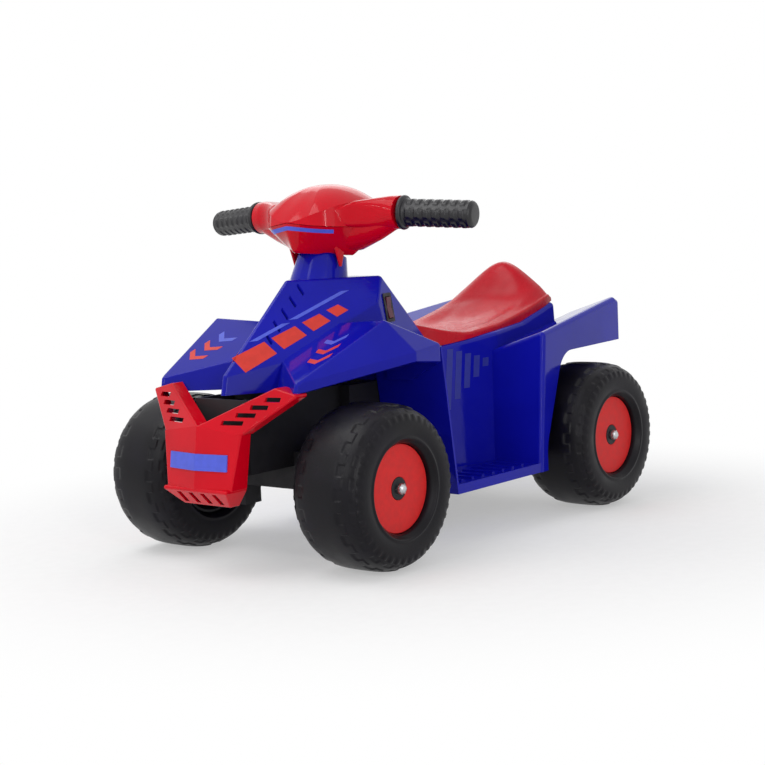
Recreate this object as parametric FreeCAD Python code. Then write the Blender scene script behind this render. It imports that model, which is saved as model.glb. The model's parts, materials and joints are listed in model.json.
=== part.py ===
import FreeCAD
import Part
import math
import os

# Child's electric quad bike in millimetres: +X forward, +Y left, +Z up.
# The origin lies on the ground under the middle of the machine.

# Overall sizes
WHEELBASE = 458.0
TRACK = 305.0
TYRE_R = 97.5
TYRE_W = 100.0
BUMPER_REACH = 140.0
WING_REACH = 117.0
HALF_WIDTH = 166.0
BAR_Z = 411.0
WALL = 3.0
OVERRUN = 30.0
FLAT_TOL = 0.001

FRONT_X = (WHEELBASE + WING_REACH + BUMPER_REACH) / 2 - BUMPER_REACH
REAR_X = FRONT_X - WHEELBASE
AXLE_Z = TYRE_R
WHEEL_Y = TRACK / 2

# Clearances
RUN_FIT = 0.08
SLIP_FIT = 0.15
SIDE_GAP = 0.5
MOVE_GAP = 2.0

# Hood, measured from the front axle
RIDGE_TOP_BACK = 32.0
NOSE_AHEAD = 86.0
NOSE_Z = 227.0
NOSE_LIP = 18.0
NOSE_LIP_AHEAD = 4.0
VALLEY_AHEAD = 20.0
VALLEY_Y = 38.0
VALLEY_Z = 242.0
SHOULDER_BACK = 129.0
SHOULDER_Y = 72.0
HIP_BACK = 108.0
HIP_Y = 82.0
TANK_END_AHEAD = 229.0
TANK_END_Z = 246.0
HOOD_FOOT_Z = 207.0
DECK_BELOW_BAR = 77.0
HIP_RISE_SHARE = 95 / 127
HOOD_EDGE_R = 5.0

DECK_Z = BAR_Z - DECK_BELOW_BAR
HIP_Z = HOOD_FOOT_Z + (DECK_Z - HOOD_FOOT_Z) * HIP_RISE_SHARE

# Front fenders, measured from the front axle
FENDER_TIP_AHEAD = 79.0
FENDER_TIP_IN = 55.0
FENDER_TIP_Z = 223.0
FENDER_LIP = 11.0
FENDER_PEAK_BACK = 50.0
FENDER_PEAK_IN = 27.0
FENDER_PEAK_Z = 286.0
FENDER_CORNER_BACK = 64.0
FENDER_CORNER_OUT = 7.0
FENDER_CORNER_Z = 248.0
FENDER_END_BACK = 121.0
FENDER_END_Z = 252.0
FENDER_END_LOW_Z = 231.0
FENDER_ROOT_Y = 30.0
FENDER_EDGE_R = 4.0

FENDER_TIP_Y = HALF_WIDTH - FENDER_TIP_IN
FENDER_PEAK_Y = HALF_WIDTH - FENDER_PEAK_IN
FENDER_CORNER_Y = HALF_WIDTH + FENDER_CORNER_OUT

# Footwells
BODY_ROOT_Y = 60.0
WELL_WALL_TOP_BACK = 123.0
WELL_WALL_FOOT_BACK = 147.0
FLOOR_Z = 77.0
SILL_Z = 65.0
FLOOR_RIB_COUNT = 7
FLOOR_RIB_W = 5.0
FLOOR_RIB_H = 2.0
FLOOR_RIB_INSET = 12.0
REAR_WALL_FOOT_AHEAD = 138.0

# Seat pedestal
PED_FRONT_BACK = 136.0
PED_FRONT_Y = 66.0
PED_MID_Y = 95.0
PED_REAR_Y = 92.0
PED_REAR_BACK = 38.0
SEAT_LOW_AHEAD = 176.0
SEAT_LOW_Z = 238.0
SEAT_LOW_Y = 74.0
SEAT_MID_AHEAD = 43.0
SEAT_MID_Z = 253.0
SEAT_HIGH_Z = 276.0
SEAT_HIGH_Y = 80.0
PED_EDGE_R = 6.0

# Rear wings, measured from the rear axle
WING_FRONT_AHEAD = 118.0
WING_FRONT_Z = 248.0
WING_TOP_BACK = 104.0
WING_TOP_Z = 278.0
WING_TAPER = 30.0
WING_END_Z = 273.0
WING_LOW_Z = 216.0
WING_DISH = 24.0
WING_EDGE_R = 6.0
ARCH_AHEAD = 118.0
ARCH_TOP_AHEAD = 66.0
ARCH_FOOT_R = 60.0
ARCH_TOP_R = 40.0

WING_END_Y = HALF_WIDTH - WING_TAPER

# Steering line
STEER_FOOT_BACK = 32.43811
RAKE = math.radians(15.4)
SHAFT_R = 5.0
STEER_R = 28.0
CRANK_Z = 104.0
CRANK_PIN_L = 20.0
CONE_FOOT_R = 41.0
CONE_TOP_R = 30.0
CONE_BELOW_BAR = 50.0
CONE_SINK = 30.0
BUSH_R = 9.0
BUSH_FLANGE_R = 12.0
BUSH_FLANGE_T = 2.0
BUSH_L = 16.0

BAR_X = FRONT_X - STEER_FOOT_BACK - (BAR_Z - CRANK_Z) * math.tan(RAKE)
CONE_TOP_Z = BAR_Z - CONE_BELOW_BAR
AXIS_UP = FreeCAD.Vector(-math.sin(RAKE), 0, math.cos(RAKE))
AXIS_BACK = FreeCAD.Vector(-math.cos(RAKE), 0, -math.sin(RAKE))
DOWN = (0, 0, -1)
BACKWARD = (-1, 0, 0)

# Louvres in the hood
LOUVRE_COUNT = 5
LOUVRE_L = 10.0
LOUVRE_W = 3.2
LOUVRE_FIRST_BACK = 41.0
LOUVRE_STEP = 15.0
LOUVRE_Y = 16.0

# Seat
SEAT_FRONT_AHEAD = 232.0
SEAT_WALL = 4.0
SEAT_SOLID_COUNT = 4
SEAT_RIM_R = 7.0
SEAT_DEPTH = 40.0
SEAT_X_SHARES = [0, 0.12, 0.27, 0.53, 0.76, 0.91, 0.965, 1]
SEAT_HALF_WIDTH = 78.0
SEAT_WIDTH_SHARES = [0.52, 0.84, 0.96, 0.98, 0.99, 1, 0.99, 0.94]
SEAT_RIM_Z = 251.0
SEAT_RIM_RISE = 31.0
SEAT_RIM_SHARES = [0.55, 0.2, 0, 0.2, 0.58, 0.9, 1, 1]
SEAT_CREST = 50.0
SEAT_PEAK_SHARE = 0.4
SEAT_CREST_SHARES = [-0.04, -0.05, -0.06, -0.05, 0.16, 0.86, 1, 0.84]

# Front bumper, measured from the front axle
BUMPER_TOP_AHEAD = 122.0
BUMPER_TOP_Y = 63.0
BUMPER_TOP_Z = 168.0
BUMPER_PEAK_AHEAD = 130.0
BUMPER_PEAK_Z = 177.0
BUMPER_LOW_AHEAD = 135.0
BUMPER_LOW_Y = 52.0
BUMPER_LOW_Z = 103.0
BUMPER_BACK = 16.0
BUMPER_WALL = 3.0
BUMPER_EDGE_R = 2.5
SKID_Z = 83.0
SKID_AHEAD = 120.0
SKID_Y = 38.0
ARM_OUT_AHEAD = 84.0
ARM_OUTSIDE_TIP = 8.0
ARM_OUT_Z = 211.0
ARM_IN_AHEAD = 79.0
ARM_INSIDE_TIP = 26.0
ARM_IN_Z = 219.0
ARM_SLOT_COUNT = 4
ARM_SLOT_H = 5.0
SKID_SLOT_COUNT = 4
SKID_SLOT_W = 7.0
PLATE_W = 92.0
PLATE_H = 19.0
PLATE_T = 1.6
PLATE_Z = 136.0
BUMPER_BOSS_R = 7.0
BUMPER_BOSS_Y = 24.0
BUMPER_BOSS_Z = 150.0

ARM_OUT_Y = FENDER_TIP_Y + ARM_OUTSIDE_TIP
ARM_IN_Y = FENDER_TIP_Y - ARM_INSIDE_TIP

# Chassis
TRAY_T = 6.0
SPINE_HALF = 42.0
SPINE_LOW_Z = 116.0
SPINE_TOP_Z = 203.0
SPINE_AHEAD = 88.0
SPINE_WALL = 3.5
BULKHEAD_T = 10.0
BEAM_HALF = 14.0
BEAM_H = 32.0
POST_R = 6.0
POST_Y = 28.0
POST_AHEAD = 18.0
CROSS_RIB = 8.0
LINER_HALF = 58.0
LINER_L = 62.0
LINER_H = 52.0

# Front suspension and steering linkage
KING_Y = 86.0
KING_R = 4.0
KING_HEAD_R = 7.0
KING_HEAD_H = 4.0
LUG_R = 11.0
LUG_T = 7.5
KNUCKLE_R = 10.0
KNUCKLE_H = 55.0
ARM_T = 9.0
ARM_W = 12.0
TIE_H = 8.0
TIE_W = 10.0
TIE_PIN_R = 4.0
TIE_HOLE_GAP = 0.3
CRANK_HOLE_GAP = 0.7
CRANK_LUG_R = 11.0
AXLE_R = 5.0
STUB_SEAT_R = 9.0
STUB_SEAT_END = 98.0
AXLE_END = 196.0

# Wheels
BEAD_R = 52.0
BEAD_W = 40.0
SIDE_R = 71.0
SHOULDER_R = 85.0
SHOULDER_W = 46.0
SHOULDER_BULGE = 2.5
TREAD_HALF = 27.0
CROWN_DROP = 1.5
TYRE_WALL = 4.0
DRUM_WALL = 3.0
DRUM_FRONT = 35.0
WEB_W = 22.0
WEB_T = 4.0
HUB_R = 13.0
HUB_FRONT = 38.0
DISC_T = 3.0
DISC_GAP = 0.4
NUT_R = 6.5
NUT_H = 6.0

# Handlebar
BAR_R = 8.0
BAR_BEND_Y = 104.0
BAR_BEND_R = 40.0
GRIP_FLANGE_Y = 116.0
GRIP_END_Y = 211.0
GRIP_SWEEP = 20.0
GRIP_DROP = 6.0
GRIP_R = 16.5
GRIP_FLANGE_R = 21.0
GRIP_FLANGE_T = 7.0
GRIP_END_T = 6.0
GRIP_RIB_COUNT = 10
GRIP_RIB_DEPTH = 1.2
DOME_X = 78.0
DOME_Y = 76.0
DOME_Z = 38.0
COVER_WALL = 3.0
COVER_ARM_R = 20.5
COVER_ARM_ROOT_R = 30.0
COVER_ARM_ROOT_Y = 40.0
COVER_FRONT_DEPTH = 42.0
COVER_LOW_SLOPE = math.radians(10)
COVER_BEAK_SHARES = (0.90, 0.56)
COVER_REAR_SHARES = (-0.76, 0.76)
COVER_FOOT_PROW_SHARE = 0.985
COVER_FOOT_SIDE_SHARES = (0.08, 0.70)
COVER_FOOT_REAR_SHARES = (-0.55, 0.56)
COVER_BACK_SHARE = 0.86
COVER_REAR_DEPTH = 26.0
COVER_MOUTH_GAP = 3.5
COVER_EDGE_R = 11.0
COVER_GAP = 3.0
COVER_BOSS_R = 12.0

# Throttle button
BUTTON_Y = 88.0
BUTTON_R = 8.0
BUTTON_PROUD = 5.0
BUTTON_TRAVEL = 3.0
BUTTON_STEM = 10.0

# Direction switch
ROCKER_LONG = 26.0
ROCKER_WIDE = 12.0
ROCKER_PROUD = 3.0
ROCKER_DEEP = 10.0
BEZEL_RIM = 2.5
BEZEL_T = 1.5
ROCKER_BACK = 4.0
ROCKER_RISE_SHARE = 87 / 127

ROCKER_Z = HOOD_FOOT_Z + (DECK_Z - HOOD_FOOT_Z) * ROCKER_RISE_SHARE

# Drive
GEAR_DRIVE_TEETH = 36
GEAR_IDLER_SMALL_TEETH = 12
GEAR_IDLER_LARGE_TEETH = 40
GEAR_PINION_TEETH = 10
MODULE_SLOW = 1.5
MODULE_FAST = 1.0
GEAR_FACE = 9.0
GEAR_GAP = 3.0
TOOTH_SHARE = 0.38
ADDENDUM_SHARE = 0.85
DEDENDUM_SHARE = 1.15
TIP_SHARE = 0.5
IDLER_ANGLE = math.radians(20)
PINION_ANGLE = math.radians(10)
IDLER_PIN_R = 3.0
CASE_OUT_Y = 82.0
CASE_WALL = 2.5
CASE_EDGE_R = 12.0
SLEEVE_R = 10.0
MOTOR_R = 14.0
MOTOR_L = 38.0
MOTOR_SHAFT_R = 1.5
AXLE_WALL_T = 6.0
AXLE_WALL_Y = 82.0
AXLE_WALL_HALF = 20.0
AXLE_SLOT_HALF = 13.0

# Electrics
BATTERY_L = 70.0
BATTERY_W = 47.0
BATTERY_H = 101.0
BATTERY_AHEAD = 130.0
CLAMP_T = 3.0
CLAMP_W = 18.0
CLAMP_FOOT = 16.0
SOCKET_R = 8.0
SOCKET_FLANGE_R = 12.0
SOCKET_FLANGE_T = 2.0
SOCKET_L = 20.0
SOCKET_BORE_R = 2.75
SOCKET_BORE_L = 10.0
SOCKET_Z = 170.0
LOOM_R = 2.5
LOOM_BEND_R = 9.0

# Screws
SCREW_R = 2.0
SCREW_HEAD_R = 4.0
SCREW_HEAD_H = 2.5
SCREW_L = 14.0


def vec(point):
    return FreeCAD.Vector(*point)


def facing(inside, corners):
    """Plane through three corners, its normal turned away from a point inside: normal and distance."""
    a, b, c = [vec(p) for p in corners]
    normal = (b - a).cross(c - a).normalize()
    if normal.dot(vec(inside) - a) > 0:
        normal = normal * -1
    return normal, normal.dot(a)


def upright(inside, start, end):
    """Upright plane over a line of the plan."""
    (x0, y0), (x1, y1) = start, end
    return facing(inside, [(x0, y0, 0), (x1, y1, 0), (x0, y0, 1)])


def mirrored(planes):
    """The planes and their images on the other side of the middle plane."""
    images = [(FreeCAD.Vector(n.x, -n.y, n.z), d) for n, d in planes]
    return planes + images


def flat(normal, distance):
    return vec(normal), distance


def solid_of(planes):
    """Convex solid inside all the planes: corners where three meet, faces ordered round each plane."""
    corners = []
    for i, (n1, d1) in enumerate(planes):
        for j in range(i + 1, len(planes)):
            n2, d2 = planes[j]
            for n3, d3 in planes[j + 1:]:
                det = n1.dot(n2.cross(n3))
                if abs(det) < FLAT_TOL:
                    continue
                p = (n2.cross(n3) * d1 + n3.cross(n1) * d2 + n1.cross(n2) * d3) * (1 / det)
                if any(n.dot(p) > d + FLAT_TOL for n, d in planes):
                    continue
                if not any((p - q).Length < FLAT_TOL for q in corners):
                    corners.append(p)
    faces = []
    for normal, d in planes:
        ring = [p for p in corners if abs(normal.dot(p) - d) < FLAT_TOL]
        if len(ring) < 3:
            continue
        middle = sum(ring, FreeCAD.Vector()) * (1 / len(ring))
        u = (ring[0] - middle).normalize()
        w = normal.cross(u)
        ring.sort(key=lambda p: math.atan2((p - middle).dot(w), (p - middle).dot(u)))
        faces.append(Part.Face(Part.makePolygon(ring + [ring[0]])))
    return Part.Solid(Part.Shell(faces))


def rounded_solid(planes, radius):
    """Convex solid with its edges rounded: drawn in by the radius, then grown again with round corners."""
    core = solid_of([(n, d - radius) for n, d in planes])
    return core.makeOffsetShape(radius, FLAT_TOL, False, False, 0, 0, False)


def open_block(planes, radius, way, seams=()):
    """Rounded solid whose faces that look the open way, and its seams, stay flat with sharp rims."""
    opening = vec(way)
    shut = [(n, d) for n, d in planes if n.dot(opening) <= 1 / 2]
    rims = [(n, d) for n, d in planes if n.dot(opening) > 1 / 2] + list(seams)
    planes = planes + list(seams)
    whole = rounded_solid(shut + [(n, d + OVERRUN) for n, d in rims], radius)
    for normal, distance in rims:
        spare = [(n, d + OVERRUN) for n, d in planes] + [(normal * -1, -distance)]
        whole = whole.cut(solid_of(spare))
    return whole


def cavity(planes, wall, way):
    """The solid drawn in by the wall on every face but those that look the open way."""
    opening = vec(way)
    moved = [(n, d + OVERRUN if n.dot(opening) > 1 / 2 else d - wall) for n, d in planes]
    return solid_of(moved)


def box(low, high):
    size = vec(high) - vec(low)
    return Part.makeBox(size.x, size.y, size.z, vec(low))


def rod(radius, start, end):
    line = vec(end) - vec(start)
    return Part.makeCylinder(radius, line.Length, vec(start), line)


def cone(radius_start, radius_end, start, end):
    line = vec(end) - vec(start)
    return Part.makeCone(radius_start, radius_end, line.Length, vec(start), line)


def tube(outer, inner, start, end):
    line = (vec(end) - vec(start)).normalize() * OVERRUN
    return rod(outer, start, end).cut(rod(inner, vec(start) - line, vec(end) + line))


def fused(solids):
    whole = solids[0]
    if len(solids) > 1:
        whole = whole.fuse(solids[1:])
    return whole.removeSplitter()


def rounded_wire(points, radii, closed=True):
    """Straight runs joined by tangent arcs of the given radii."""
    corners = [vec(p) for p in points]
    count = len(corners)
    cuts = []
    for i, corner in enumerate(corners):
        if not radii[i]:
            cuts.append((corner, None, corner))
            continue
        back = (corners[i - 1] - corner).normalize()
        ahead = (corners[(i + 1) % count] - corner).normalize()
        half = back.getAngle(ahead) / 2
        reach = radii[i] / math.tan(half)
        bisector = (back + ahead).normalize()
        crown = corner + bisector * (radii[i] / math.sin(half) - radii[i])
        cuts.append((corner + back * reach, crown, corner + ahead * reach))
    edges = []
    for i in range(count):
        start, crown, end = cuts[i]
        if crown is not None:
            edges.append(Part.Arc(start, crown, end).toShape())
        if i + 1 < count or closed:
            edges.append(Part.LineSegment(end, cuts[(i + 1) % count][0]).toShape())
    return Part.Wire(edges)


def side_prism(outline, radii, y_low, y_high):
    """Outline in X and Z, carried from one Y to another."""
    wire = rounded_wire([(x, y_low, z) for x, z in outline], radii)
    return Part.Face(wire).extrude(FreeCAD.Vector(0, y_high - y_low, 0))


def plan_prism(outline, radii, z_low, z_high):
    """Outline in X and Y, carried from one Z to another."""
    wire = rounded_wire([(x, y, z_low) for x, y in outline], radii)
    return Part.Face(wire).extrude(FreeCAD.Vector(0, 0, z_high - z_low))


def other_side(shape):
    return shape.mirror(FreeCAD.Vector(), FreeCAD.Vector(0, 1, 0))


def both_sides(shape):
    return [shape, other_side(shape)]


def on_axis(z):
    """Point of the raked steering line at a height."""
    return FreeCAD.Vector(BAR_X + (BAR_Z - z) * math.tan(RAKE), 0, z)


def save(name, solids):
    shape = solids[0] if len(solids) == 1 else Part.makeCompound(solids)
    for solid in shape.Solids:
        if not solid.isValid():
            raise ValueError(name + " is not a valid solid")
    shape.exportStep("parts/" + name + ".step")
    print(name, len(shape.Solids), round(shape.Volume), [round(v) for v in (
        shape.BoundBox.XMin, shape.BoundBox.XMax, shape.BoundBox.YMin, shape.BoundBox.YMax,
        shape.BoundBox.ZMin, shape.BoundBox.ZMax)])


# Faces of the body moulding

def hood_planes():
    """Deck, two roof faces, side walls, nose, tank sides and the slope down to the seat."""
    ridge_top = (FRONT_X - RIDGE_TOP_BACK, 0, DECK_Z)
    nose = (FRONT_X + NOSE_AHEAD, 0, NOSE_Z)
    nose_lip = (FRONT_X + NOSE_AHEAD + NOSE_LIP_AHEAD, 0, NOSE_Z - NOSE_LIP)
    valley = (FRONT_X + VALLEY_AHEAD, VALLEY_Y, VALLEY_Z)
    shoulder = (FRONT_X - SHOULDER_BACK, SHOULDER_Y, DECK_Z)
    hip = (FRONT_X - HIP_BACK, HIP_Y, HIP_Z)
    tank_end = (REAR_X + TANK_END_AHEAD, BODY_ROOT_Y, TANK_END_Z)
    middle = (FRONT_X - HIP_BACK, 0, HIP_Z)
    sides = [
        facing(middle, [ridge_top, nose, shoulder]),
        upright(middle, valley[:2], hip[:2]),
        facing(middle, [nose, valley, nose_lip]),
        facing(middle, [shoulder, hip, tank_end]),
    ]
    slope = facing(middle, [shoulder, tank_end, (shoulder[0], 0, DECK_Z)])
    ends = [flat((0, 0, 1), DECK_Z), slope, flat(BACKWARD, OVERRUN - tank_end[0]), flat(DOWN, -HOOD_FOOT_Z)]
    return mirrored(sides) + ends


def fender_planes():
    """Left fender: inner slope, outer slope, lip, tapering rear face and its ends."""
    tip = (FRONT_X + FENDER_TIP_AHEAD, FENDER_TIP_Y, FENDER_TIP_Z)
    tip_lip = (FRONT_X + FENDER_TIP_AHEAD + NOSE_LIP_AHEAD, FENDER_TIP_Y, FENDER_TIP_Z - FENDER_LIP)
    valley = (FRONT_X + VALLEY_AHEAD, VALLEY_Y, VALLEY_Z)
    peak = (FRONT_X - FENDER_PEAK_BACK, FENDER_PEAK_Y, FENDER_PEAK_Z)
    corner = (FRONT_X - FENDER_CORNER_BACK, FENDER_CORNER_Y, FENDER_CORNER_Z)
    corner_lip = (FRONT_X - FENDER_CORNER_BACK, FENDER_CORNER_Y, FENDER_CORNER_Z - FENDER_LIP)
    end = (FRONT_X - FENDER_END_BACK, HALF_WIDTH, FENDER_END_Z)
    end_lip = (FRONT_X - FENDER_END_BACK, HALF_WIDTH, FENDER_END_LOW_Z)
    root = (FRONT_X - FENDER_END_BACK, FENDER_ROOT_Y, FENDER_END_Z)
    middle = (FRONT_X - FENDER_PEAK_BACK, FENDER_TIP_Y, FENDER_END_Z)
    return [
        facing(middle, [tip, valley, peak]),
        facing(middle, [tip, peak, corner]),
        upright(middle, tip[:2], corner[:2]),
        facing(middle, [tip, tip_lip, valley]),
        facing(middle, [peak, corner, end]),
        upright(middle, corner[:2], end[:2]),
        facing(middle, [peak, end, root]),
        flat((-1, 0, 0), -end[0]),
        flat((0, -1, 0), -FENDER_ROOT_Y),
        facing(middle, [tip_lip, corner_lip, end_lip]),
        flat(DOWN, -HOOD_FOOT_Z),
    ]


def pedestal_plan():
    """Corners of the pedestal's foot, front to rear, left side."""
    return [
        (FRONT_X - PED_FRONT_BACK, PED_FRONT_Y),
        (REAR_X + REAR_WALL_FOOT_AHEAD, PED_MID_Y),
        (REAR_X - PED_REAR_BACK, PED_REAR_Y),
    ]


def bed_points():
    """Seat bed in side view: front, middle and tail."""
    return [(REAR_X + SEAT_LOW_AHEAD, SEAT_LOW_Z), (REAR_X + SEAT_MID_AHEAD, SEAT_MID_Z),
            (REAR_X - PED_REAR_BACK, SEAT_HIGH_Z)]


def pedestal_planes(slope):
    """Flanks that lean in towards the seat, one slope of the seat's bed, front and tail."""
    front, waist, tail = [(x, y, SILL_Z) for x, y in pedestal_plan()]
    bed_low = (REAR_X + SEAT_LOW_AHEAD, SEAT_LOW_Y, SEAT_LOW_Z)
    bed_high = (REAR_X - PED_REAR_BACK, SEAT_HIGH_Y, SEAT_HIGH_Z)
    middle = (REAR_X + SEAT_LOW_AHEAD, 0, AXLE_Z)
    sides = [facing(middle, [front, waist, bed_low]), facing(middle, [waist, tail, bed_high])]
    (x0, z0), (x1, z1) = bed_points()[slope:slope + 2]
    bed = facing(middle, [(x0, 0, z0), (x1, 0, z1), (x0, 1, z0)])
    ends = [bed, flat((1, 0, 0), front[0]), flat(BACKWARD, -tail[0]), flat(DOWN, -SILL_Z)]
    return mirrored(sides) + ends


def wing_planes():
    """Left rear wing: front wall, dished top that climbs to the tail, end and outer face."""
    front = REAR_X + WING_FRONT_AHEAD
    foot = REAR_X + REAR_WALL_FOOT_AHEAD
    top = (REAR_X - WING_TOP_BACK, WING_END_Y, WING_TOP_Z)
    top_root = (REAR_X - WING_TOP_BACK, BODY_ROOT_Y, WING_TOP_Z - WING_DISH)
    end = (REAR_X - WING_REACH, WING_END_Y, WING_END_Z)
    crest = (front, HALF_WIDTH, WING_FRONT_Z)
    middle = (REAR_X, PED_REAR_Y, WING_LOW_Z)
    return [
        facing(middle, [(foot, 0, SILL_Z), (foot, HALF_WIDTH, SILL_Z), crest]),
        facing(middle, [crest, top, top_root]),
        facing(middle, [top, top_root, end]),
        flat((-1, 0, 0), -end[0]),
        upright(middle, (front, HALF_WIDTH), end[:2]),
        flat((0, -1, 0), -BODY_ROOT_Y),
        flat(DOWN, -SILL_Z),
    ]


# Body moulding

def body_blocks():
    """Outer forms of the moulding: hood and tank, pedestal, fenders, wings."""
    hood = open_block(hood_planes(), HOOD_EDGE_R, DOWN)
    pedestals = [open_block(pedestal_planes(slope), PED_EDGE_R, DOWN) for slope in (0, 1)]
    fender = open_block(fender_planes(), FENDER_EDGE_R, DOWN)
    wing = open_block(wing_planes(), WING_EDGE_R, DOWN)
    return [hood] + pedestals + both_sides(fender) + both_sides(wing)


def arch_cutter():
    """Space above a rear wheel: sloping front edge, flat top, open to the rear."""
    deep = -OVERRUN
    rear = REAR_X - WING_REACH - OVERRUN
    outline = [
        (REAR_X + ARCH_AHEAD, deep), (REAR_X + ARCH_AHEAD, AXLE_Z),
        (REAR_X + ARCH_TOP_AHEAD, WING_LOW_Z), (rear, WING_LOW_Z), (rear, deep),
    ]
    radii = [0, ARCH_FOOT_R, ARCH_TOP_R, 0, 0]
    space = side_prism(outline, radii, PED_REAR_Y, HALF_WIDTH + OVERRUN)
    behind = box((rear, 0, deep), (REAR_X - PED_REAR_BACK, HALF_WIDTH, WING_LOW_Z))
    return fused([space, behind])


def floor_panel():
    """Left footrest with its sill, the well's front wall and the ribs underfoot."""
    front = FRONT_X - WELL_WALL_FOOT_BACK
    rear = REAR_X + REAR_WALL_FOOT_AHEAD
    inner = BODY_ROOT_Y
    floor = box((rear - WALL, inner, FLOOR_Z - WALL), (front + WALL, HALF_WIDTH, FLOOR_Z))
    sill = box((rear - WALL, HALF_WIDTH - WALL, SILL_Z), (front + WALL, HALF_WIDTH, FLOOR_Z))
    top = FRONT_X - WELL_WALL_TOP_BACK
    wall = side_prism(
        [(front, SILL_Z), (top, FENDER_END_Z - WALL),
         (top + WALL, FENDER_END_Z - WALL), (front + WALL, SILL_Z)],
        [0, 0, 0, 0], inner, HALF_WIDTH)
    ribs = []
    pitch = (front - rear) / (FLOOR_RIB_COUNT + 1)
    for i in range(FLOOR_RIB_COUNT):
        x = rear + (i + 1) * pitch
        ribs.append(box((x - FLOOR_RIB_W / 2, PED_MID_Y + FLOOR_RIB_INSET, FLOOR_Z),
                        (x + FLOOR_RIB_W / 2, HALF_WIDTH - FLOOR_RIB_INSET, FLOOR_Z + FLOOR_RIB_H)))
    return [floor, sill, wall] + ribs


def louvre_cutters():
    cutters = []
    slope = (DECK_Z - NOSE_Z) / (NOSE_AHEAD + RIDGE_TOP_BACK)
    for i in range(LOUVRE_COUNT):
        x = FRONT_X - LOUVRE_FIRST_BACK + i * LOUVRE_STEP
        z = DECK_Z - (x - FRONT_X + RIDGE_TOP_BACK) * slope
        slot = box((x - LOUVRE_W / 2, LOUVRE_Y - LOUVRE_L / 2, z - OVERRUN),
                   (x + LOUVRE_W / 2, LOUVRE_Y + LOUVRE_L / 2, z + OVERRUN))
        cutters += both_sides(slot)
    return cutters


def body_outer():
    blocks = body_blocks()
    blocks.append(cone(CONE_FOOT_R, CONE_TOP_R, on_axis(DECK_Z - CONE_SINK), on_axis(CONE_TOP_Z)))
    return fused(blocks)


def tank_floor():
    """Ledges that close the tank's sides against the pedestal's flanks."""
    low = box((REAR_X + TANK_END_AHEAD, -HALF_WIDTH, HOOD_FOOT_Z),
              (FRONT_X - PED_FRONT_BACK, HALF_WIDTH, HOOD_FOOT_Z + WALL))
    return low.common(solid_of(hood_planes())).cut(cavity(pedestal_planes(0), WALL, DOWN))


def body_shell(outer):
    under = flat(DOWN, -HOOD_FOOT_Z)
    inner = [solid_of([(n, d - WALL) for n, d in hood_planes()[:-1]] + [under])]
    inner += [cavity(pedestal_planes(slope), WALL, DOWN) for slope in (0, 1)]
    inner += both_sides(cavity(fender_planes(), WALL, DOWN))
    inner += both_sides(cavity(wing_planes(), WALL, DOWN))
    inner.append(cone(CONE_FOOT_R - WALL, CONE_TOP_R - WALL,
                      on_axis(DECK_Z - CONE_SINK), on_axis(CONE_TOP_Z - WALL)))
    shell = outer.cut(inner)
    panels = floor_panel()
    shell = fused([shell, tank_floor()] + panels + [other_side(p) for p in panels])
    arch = arch_cutter()
    cutters = both_sides(arch) + louvre_cutters()
    cutters.append(rod(BUSH_R + SLIP_FIT, on_axis(CONE_TOP_Z - OVERRUN), on_axis(CONE_TOP_Z + OVERRUN)))
    slot = [box((REAR_X - AXLE_SLOT_HALF, -PED_MID_Y, SILL_Z - OVERRUN),
                (REAR_X + AXLE_SLOT_HALF, PED_MID_Y, AXLE_Z)),
            rod(AXLE_SLOT_HALF, (REAR_X, -PED_MID_Y, AXLE_Z), (REAR_X, PED_MID_Y, AXLE_Z))]
    socket = rod(SOCKET_R + SLIP_FIT, (REAR_X - PED_REAR_BACK - OVERRUN, 0, SOCKET_Z),
                 (REAR_X - PED_REAR_BACK + OVERRUN, 0, SOCKET_Z))
    shell = shell.cut(cutters + slot + [socket, placed_on_cowl(rocker_housing())])
    post_x = FRONT_X + POST_AHEAD
    bosses = [rod(POST_R, (post_x, y, SPINE_TOP_Z), (post_x, y, DECK_Z)).common(outer)
              for y in (POST_Y, -POST_Y)]
    feet = [rod(POST_R, (x, y, SILL_Z), (x, y, SILL_Z + SCREW_L + POST_R)) for x, y in tray_screw_places()]
    shell = fused([shell] + bosses + feet)
    holes = [rod(SCREW_R, (x, y, SILL_Z - OVERRUN), (x, y, SILL_Z + SCREW_L))
             for x, y in tray_screw_places()]
    holes += [rod(SCREW_R, (post_x, y, SPINE_TOP_Z - OVERRUN), (post_x, y, SPINE_TOP_Z + SCREW_L))
              for y in (POST_Y, -POST_Y)]
    holes += [rod(SCREW_R + SLIP_FIT, foot - way * OVERRUN, foot + way) for foot, way, _ in seat_feet()]
    return shell.cut(holes)


def tray_screw_places():
    """Where screws come up through the tray into the pedestal's feet."""
    (front_x, front_y), (waist_x, waist_y), (tail_x, tail_y) = pedestal_plan()
    inset = WALL + POST_R / 2
    middle_x = (front_x + waist_x) / 2
    middle_y = (front_y + waist_y) / 2
    places = [(middle_x, middle_y - inset), (tail_x + inset, tail_y / 3)]
    return places + [(x, -y) for x, y in places]


def tray_screw_seat():
    """Level of the screw heads' seats, sunk into the tray's underside."""
    return SILL_Z - TRAY_T + SCREW_HEAD_H + SIDE_GAP


# Seat

def seat_feet():
    """Screw points of the seat: where each meets the bed, the way it goes in and its length."""
    _, (mid_x, mid_z), (tail_x, tail_z) = bed_points()
    x = REAR_X
    z = mid_z + (tail_z - mid_z) * (mid_x - x) / (mid_x - tail_x)
    tail_way = FreeCAD.Vector(tail_z - mid_z, 0, mid_x - tail_x).normalize()
    slope = hood_planes()[9][0]
    front_x = REAR_X + TANK_END_AHEAD
    feet = []
    for side in (1, -1):
        feet.append((FreeCAD.Vector(x, side * SEAT_HALF_WIDTH / 2, z), tail_way, SCREW_L))
        feet.append((FreeCAD.Vector(front_x, side * SEAT_HALF_WIDTH / 3, TANK_END_Z), slope, SCREW_L / 2))
    return feet


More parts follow.
